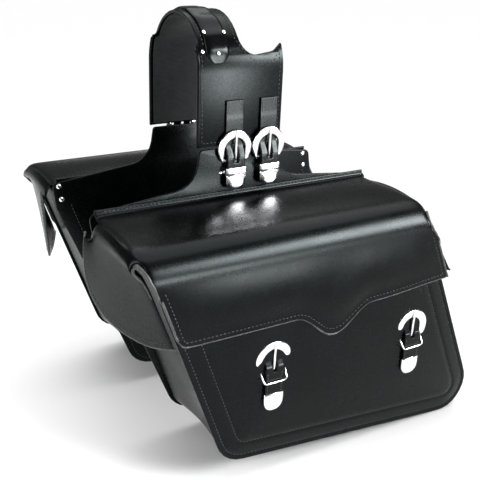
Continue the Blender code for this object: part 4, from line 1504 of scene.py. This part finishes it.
@dataclass
class Buckle:
    """One strap with its buckle, its prong and its metal tip."""

    shop: MeshShop
    side: Side
    end: End
    x: float
    bar_z: float
    flex_z: float
    face_y: float
    tail: float
    diameter: float
    on_bag: bool
    width: float = 25.4
    leather: float = 2.4
    bar_out: float = 3.9
    ring_top_out: float = 6.0
    ring_rise: float = 38.0
    opening: tuple[float, float] = (30.0, 27.0)
    ring_thick: float = 3.0
    tail_out: float = 9.0
    billet_out: float = 2.0
    top_bend: float = 17.5
    low_bend: float = 4.0
    slot_width: float = 4.6
    tip_length: float = 20.0
    patch_top: float = -94.0

    @property
    def prefix(self) -> str:
        """How this strap's nodes' names start."""
        where = "bag" if self.on_bag else "yoke"
        return f"{self.side.word}_{where}_{self.end.value}"

    @property
    def body(self) -> str:
        """The body that the strap and its buckle ride on."""
        if self.on_bag:
            return f"{self.side.word}_bag_{self.end.value}_strap"
        return f"{self.side.word}_bag"

    def at(self, across: float, out: float, rise: float) -> Vector:
        """A point across the strap, out from the leather's face and above the bar."""
        return Vector((self.x + across, self.face_y - out, self.bar_z + rise))

    def dress(self, shape: bmesh.types.BMesh, what: str, material: bpy.types.Material,
              slot: Slot, *nodes: str) -> bpy.types.Object:
        """Make one of the strap's pieces, standing for the nodes that are named."""
        obj = self.shop.piece(f"{self.prefix}_{what}", shape, material, slot, self.side)
        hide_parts(*[f"{self.prefix}_{node}" for node in nodes])
        return obj

    def metal(self, shape: bmesh.types.BMesh, what: str, node: str, body: str) -> None:
        """Make one of the buckle's metal pieces, riding on a body."""
        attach(self.dress(shape, what, self.shop.finishes.metal, Slot.HARDWARE, node), body)

    def billet_line(self) -> list[Vector]:
        """The strap's middle line in its own plane, from the top down."""
        flex = self.flex_z - self.bar_z
        if self.on_bag:
            start = [(0.0, self.billet_out, flex), (0.0, self.billet_out, flex - 6)]
        else:
            start = [(0.0, self.leather / 2 + 0.4, self.patch_top - self.bar_z),
                     (0.0, self.leather / 2 + 0.4, flex + 4), (0.0, self.billet_out, flex - 4)]
        rest = [
            (0.0, self.billet_out, self.top_bend + 3),
            (0.0, self.billet_out + 0.8, self.top_bend - 1),
            (0.0, self.tail_out - 0.8, self.low_bend + 1),
            (0.0, self.tail_out, self.low_bend - 2),
            (0.0, self.tail_out, -self.tail)]
        return smooth_path(start + rest, 64)

    def billet(self) -> None:
        """The strap with the slot that its prong goes through."""
        line = self.billet_line()
        half = self.width / 2
        across = [-half, -half + 0.8, -half + 3.0, -6.5, -self.slot_width / 2, self.slot_width / 2,
                  6.5, half - 3.0, half - 0.8, half]
        shape = bmesh.new()
        bmesh.ops.create_grid(
            shape, x_segments=len(across) - 1, y_segments=len(line) - 1, size=1.0)
        for vert in shape.verts:
            column = round((vert.co.x + 1) / 2 * (len(across) - 1))
            spot = line[round((vert.co.y + 1) / 2 * (len(line) - 1))]
            vert.co = self.at(across[column], spot.y, spot.z)
        slot = [face for face in shape.faces
                if abs(face.calc_center_median().x - self.x) < self.slot_width / 4
                and -2.5 < face.calc_center_median().z - self.bar_z < self.top_bend + 2]
        bmesh.ops.delete(shape, geom=slot, context="FACES")
        MeshShop.face_towards(
            shape, self.at(0, self.tail_out, -self.tail), Vector((0, -1, 0)))
        nodes = ["billet"] if self.on_bag else ["billet", "patch"]
        billet = self.dress(shape, "strap", self.shop.finishes.strap, Slot.LEATHER, *nodes)
        MeshShop.thicken(billet, self.leather, 0.0)
        y = self.face_y * self.side.value * MM
        low, high = (self.flex_z - 4) * MM, (self.flex_z + 4) * MM
        above = f"{self.side.word}_lid" if self.on_bag else "yoke"
        self.body
        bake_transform(billet)

    @staticmethod
    def row(*points: Vector) -> Seam:
        """A short row of small stitches on the strap's face."""
        return Seam(list(points), [Vector((0, -1, 0))] * len(points), pitch=4.2, length=3.2)

    def edge_stitches(self) -> None:
        """The rows of stitches on the strap, sewn down above its flex line."""
        rows = []
        half = self.width / 2 - 2.6
        flex = self.flex_z - self.bar_z
        if not self.on_bag:
            out, top, low = self.leather + 0.5, self.patch_top - self.bar_z - 2.6, flex + 3.6
            box = self.row(self.at(-half, out, low), self.at(-half, out, top),
                           self.at(half, out, top), self.at(half, out, low),
                           self.at(-half, out, low))
            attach(Thread(self.shop).sew(f"{self.prefix}_box_stitches", [box], self.side), "yoke")
            out = self.billet_out + self.leather / 2 + 0.1
            mid = (flex + self.ring_rise) / 2 + 4
            rows.append(self.row(self.at(-half, out, mid), self.at(half, out, mid)))
            for across in (-half, half):
                rows.append(self.row(
                    self.at(across, out, flex - 4.5), self.at(across, out, self.ring_rise + 3)))
        out = self.tail_out + self.leather / 2 + 0.1
        for across in (-half, half):
            rows.append(self.row(self.at(across, out, -2.0), self.at(across, out, 5 - self.tail)))
        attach(Thread(self.shop).sew(f"{self.prefix}_stitches", rows, self.side), self.body)

    def chape(self) -> None:
        """The short strap folded round the bar behind the tail."""
        radius = 2.6
        points = [(self.bar_out + radius + 1.1, -self.tail + 8),
                  (self.bar_out + radius + 0.6, -9.0)]
        for degrees in range(0, 181, 20):
            angle = math.radians(degrees)
            points.append((self.bar_out + radius * math.cos(angle), radius * math.sin(angle)))
        points += [(self.bar_out - radius + 0.4, -9.0),
                   (self.bar_out - radius + 0.9, -self.tail + 8)]
        path = [self.at(0, out, rise) for out, rise in points]
        half = self.width / 2

        def section(index: int, share: float) -> tuple[Vector, Vector]:
            """Flat and wide, square to the fold."""
            run = path[min(index + 1, len(path) - 1)] - path[max(index - 1, 0)]
            return Vector((half - 0.3, 0, 0)), run.cross(Vector((1, 0, 0))).normalized() * 0.9

        shape = MeshShop.tube(path, section, 20, square=0.3)
        fold = self.dress(shape, "fold", self.shop.finishes.strap, Slot.LEATHER, "chape")
        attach(fold, self.body)

    def lean(self, rise: float) -> float:
        """How far out the ring's middle plane is at a rise."""
        return self.bar_out + (self.ring_top_out - self.bar_out) * rise / self.ring_rise

    def ring(self) -> None:
        """The rounded horseshoe ring, its bar and, on the bag, its wire."""
        radius = self.diameter / 2
        centre = self.ring_rise - radius
        half_open = self.opening[0] / 2
        straight = self.opening[1] - half_open
        start = math.asin((-1.3 - centre) / radius)
        inner, outer = [], []
        count = 44
        for step in range(count + 1):
            share = step / count
            angle = start + (math.pi - 2 * start) * share
            outer.append((radius * math.cos(angle), centre + radius * math.sin(angle)))
            if share < 0.24:
                inner.append((half_open, -1.3 + (straight + 1.3) * share / 0.24))
            elif share > 0.76:
                inner.append((-half_open, -1.3 + (straight + 1.3) * (1 - share) / 0.24))
            else:
                turn = math.pi * (share - 0.24) / 0.52
                inner.append((half_open * math.cos(turn), straight + half_open * math.sin(turn)))
        path = []
        halves = []
        for (ox, oz), (ix, iz) in zip(outer, inner):
            middle_x, middle_z = (ox + ix) / 2, (oz + iz) / 2
            path.append(self.at(middle_x, self.lean(middle_z), middle_z))
            halves.append(self.at(ox, self.lean(oz), oz) - path[-1])

        def section(index: int, share: float) -> tuple[Vector, Vector]:
            """From the opening to the rim, domed."""
            slope = (self.ring_top_out - self.bar_out) / self.ring_rise
            return halves[index], Vector((0, -1, slope)).normalized() * (self.ring_thick / 2)

        shape = MeshShop.tube(path, section, 16, square=0.72)
        reach = half_open + 3
        bar = [self.at(across, self.bar_out, 0) for across in (-reach, 0, reach)]
        MeshShop.add(shape, MeshShop.round_tube(bar, 1.3, 10))
        if self.on_bag:
            MeshShop.add(shape, MeshShop.round_tube(self.wire(), 1.15, 10))
        node = "buckle" if self.on_bag else "ring"
        self.metal(shape, "horseshoe", node, self.body)

    def wire(self) -> list[Vector]:
        """The middle line of the wire frame that holds the tail down."""
        half = self.opening[0] / 2 + 2.4
        out = self.tail_out + self.leather / 2 + 1.9
        side = [(half, self.bar_out, 1.0), (half, self.bar_out + 1.5, -2.5),
                (half - 0.2, (self.bar_out + out) / 2, -7.0), (half - 1.0, out, -12.0),
                (half - 4.5, out, -14.8), (half - 9.0, out, -15.2)]
        points = [tuple(self.at(-x, y, z)) for x, y, z in side]
        points += [tuple(self.at(x, y, z)) for x, y, z in side[::-1]]
        return smooth_path(points, 48)

    def prong(self) -> None:
        """The prong with its eye round the bar."""
        rest = self.lean(self.ring_rise - 2) + self.ring_thick / 2 + 1.5
        path = smooth_path([
            tuple(self.at(0, self.bar_out + 2.6, 0.5)), tuple(self.at(0, self.bar_out + 3.6, 8.0)),
            tuple(self.at(0, self.bar_out + 4.0, 20.0)),
            tuple(self.at(0, rest, self.ring_rise - 5)),
            tuple(self.at(0, rest - 0.2, self.ring_rise - 0.5))], 20)
        shape = MeshShop.round_tube(path, lambda share: 1.75 - 0.45 * share ** 2, 12)
        eye = []
        for step in range(24):
            angle = 2 * math.pi * step / 24
            eye.append(self.at(0, self.bar_out + 2.5 * math.cos(angle), 2.5 * math.sin(angle)))
        MeshShop.add(shape, MeshShop.round_tube(eye, 0.9, 8, closed=True))
        self.metal(shape, "tongue", "prong", f"{self.prefix}_prong_body")

    def tip(self) -> None:
        """The domed metal spade tip over the strap's end."""
        half = self.width / 2 + 1.1
        top = -self.tail + 4
        low = -self.tail - self.tip_length
        waist = top - 9
        outline = [(half, top), (half, top - 3.0), (half + 0.3, waist + 2), (half, waist - 2)]
        for step in range(1, 12):
            angle = math.radians(step * 7.6)
            outline.append((half * math.cos(angle) ** 0.85,
                            waist - 2 - (waist - 2 - low) * math.sin(angle)))
        full = outline + [(0.0, low)] + [(-x, z) for x, z in outline[::-1]]
        points = [self.at(x, self.tail_out - 2.3, z) for x, z in full]
        shape = MeshShop.plate(points, Vector((0, -1, 0)), 4.6, 1.1, 1.0)
        self.metal(shape, "spade", "tip", self.body)

    def keeper(self) -> None:
        """The flat metal loop over the tail, or nothing on the bag's straps."""
        half = self.width / 2 + 1.5
        front = self.tail_out + self.leather / 2 + 1.2
        middle = -13.0
        corner = 2.2
        points = [(-half, 0.4), (-half, front - corner)]
        points += [(-half + corner * (1 - math.cos(a)), front - corner * (1 - math.sin(a)))
                   for a in (math.radians(30), math.radians(60), math.radians(90))]
        full = points + [(-x, out) for x, out in points[::-1]]
        path = [self.at(x, out, middle) for x, out in full]

        def section(index: int, share: float) -> tuple[Vector, Vector]:
            """Tall and thin, square to the loop."""
            run = path[min(index + 1, len(path) - 1)] - path[max(index - 1, 0)]
            return Vector((0, 0, 4.0)), run.cross(Vector((0, 0, 1))).normalized() * 0.75

        shape = MeshShop.tube(path, section, 16, square=0.35)
        self.metal(shape, "band", "keeper", self.body)

    def build(self) -> None:
        """Make the strap's pieces."""
        self.billet()
        self.chape()
        self.ring()
        self.prong()
        self.tip()
        if not self.on_bag:
            self.keeper()
        self.edge_stitches()
        LOG.info("%s strap: leather, fold, ring, prong and tip", self.prefix)


@dataclass
class Straps:
    """The four straps of one side."""

    shop: MeshShop
    side: Side
    yoke_x: tuple[float, float] = (-8.0, 42.0)
    bag_x: tuple[float, float] = (-26.0, 196.0)
    yoke_bar_z: float = -169.0
    bag_bar_z: tuple[float, float] = (-396.0, -404.0)
    yoke_flex_z: float = -115.0
    bag_flex_z: float = -338.0

    def build(self) -> None:
        """Make the two yoke straps and the two bag straps."""
        for index, end in enumerate(End):
            Buckle(self.shop, self.side, end, self.yoke_x[index], self.yoke_bar_z,
                   self.yoke_flex_z, -69.5, 22.0, 48.0, False, tip_length=16.0).build()
            Buckle(self.shop, self.side, end, self.bag_x[index], self.bag_bar_z[index],
                   self.bag_flex_z, -206.0, 36.0, 54.0, True).build()


# ---------------------------------------------------------------- studio

@dataclass
class Studio:
    """Floor, lights, sky and camera."""

    finishes: Finishes
    floor_z: float = -0.5524
    floor_size: float = 60.0
    target: tuple[float, float, float] = (0.001, 0.0, -0.324)
    azimuth: float = -29.33
    elevation: float = 22.47
    distance: float = 1.116
    roll: float = 1.18
    lens: float = 58.9
    shift: tuple[float, float] = (0.0624, 0.0240)
    sky: float = 0.19

    def floor(self) -> None:
        """A wide plain floor."""
        shape = bmesh.new()
        bmesh.ops.create_grid(shape, x_segments=4, y_segments=4, size=self.floor_size / 2)
        bmesh.ops.translate(shape, vec=(0, 0, self.floor_z), verts=shape.verts)
        MeshShop.show("floor", shape, self.finishes.floor)

    def lamp(self, name: str, place: Sequence[float], aim: Sequence[float],
             size: tuple[float, float], power: float, spread: float) -> None:
        """A soft rectangular light.

        Args:
            name: its name.
            place: where it is, in metres.
            aim: what it looks at.
            size: its width and height.
            power: in watts.
            spread: the angle that its grid lets out, in degrees.
        """
        data = bpy.data.lights.new(name, "AREA")
        data.shape = "RECTANGLE"
        data.size, data.size_y = size
        data.energy = power
        data.spread = math.radians(spread)
        lamp = bpy.data.objects.new(name, data)
        lamp.location = place
        lamp.rotation_euler = (Vector(aim) - Vector(place)).to_track_quat("-Z", "Y").to_euler()
        bpy.context.scene.collection.objects.link(lamp)

    def daylight(self, tilt: tuple[float, float], spread: float, strength: float) -> None:
        """A wide even light from above, as from a white ceiling.

        Args:
            tilt: how far it leans about X and Y, in degrees.
            spread: the angle that it fills, in degrees.
            strength: its irradiance.
        """
        data = bpy.data.lights.new("ceiling", "SUN")
        data.angle = math.radians(spread)
        data.energy = strength
        lamp = bpy.data.objects.new("ceiling", data)
        lamp.rotation_euler = (math.radians(tilt[0]), math.radians(tilt[1]), 0.0)
        bpy.context.scene.collection.objects.link(lamp)

    def camera(self) -> None:
        """The camera at the scene's main view."""
        a, e = math.radians(self.azimuth), math.radians(self.elevation)
        back = Vector((math.sin(a) * math.cos(e), -math.cos(a) * math.cos(e), math.sin(e)))
        right = Vector((0, 0, 1)).cross(back).normalized()
        up = back.cross(right)
        turn = math.radians(self.roll)
        right, up = (right * math.cos(turn) + up * math.sin(turn),
                     up * math.cos(turn) - right * math.sin(turn))
        data = bpy.data.cameras.new("camera")
        data.lens = self.lens
        data.sensor_width = 36.0
        data.shift_x, data.shift_y = self.shift
        data.clip_end = 200.0
        camera = bpy.data.objects.new("camera", data)
        matrix = Matrix((right, up, back)).transposed().to_4x4()
        matrix.translation = Vector(self.target) + back * self.distance
        camera.matrix_world = matrix
        bpy.context.scene.collection.objects.link(camera)
        bpy.context.scene.camera = camera

    def world(self) -> None:
        """A plain pale sky."""
        world = bpy.data.worlds.new("sky")
        world.use_nodes = True
        background = world.node_tree.nodes["Background"]
        background.inputs["Color"].default_value = (1.0, 1.0, 1.0, 1.0)
        background.inputs["Strength"].default_value = self.sky
        bpy.context.scene.world = world

    def build(self) -> None:
        """Make the studio."""
        bpy.context.scene.view_settings.view_transform = "Standard"
        self.floor()
        self.world()
        self.daylight((-14.0, 8.0), 75.0, 3.0)
        self.lamp("crest_softbox", place=(0.80, -1.02, 0.26), aim=(0.03, -0.20, -0.23),
                  size=(1.5, 0.50), power=6.2, spread=40.0)
        self.lamp("left_softbox", place=(-1.7, -0.5, 0.5), aim=(-0.1, 0.0, -0.3),
                  size=(0.7, 1.2), power=5.0, spread=90.0)
        self.lamp("low_right_softbox", place=(0.74, -1.72, -0.27), aim=(0.0, -0.07, -0.09),
                  size=(1.6, 0.55), power=2.5, spread=28.0)
        self.camera()
        LOG.info("studio: floor, sky, three lamps and camera")


def main() -> None:
    """Build everything in order."""
    logging.basicConfig(level=logging.INFO, format="%(name)s: %(message)s")
    finishes = Finishes()
    shop = MeshShop(finishes)
    Yoke(shop).build()
    for side in Side:
        BagBody(shop, side).build()
        Lid(shop, side).build()
        Straps(shop, side).build()
    Studio(finishes).build()


if __name__ == "__main__":
    main()
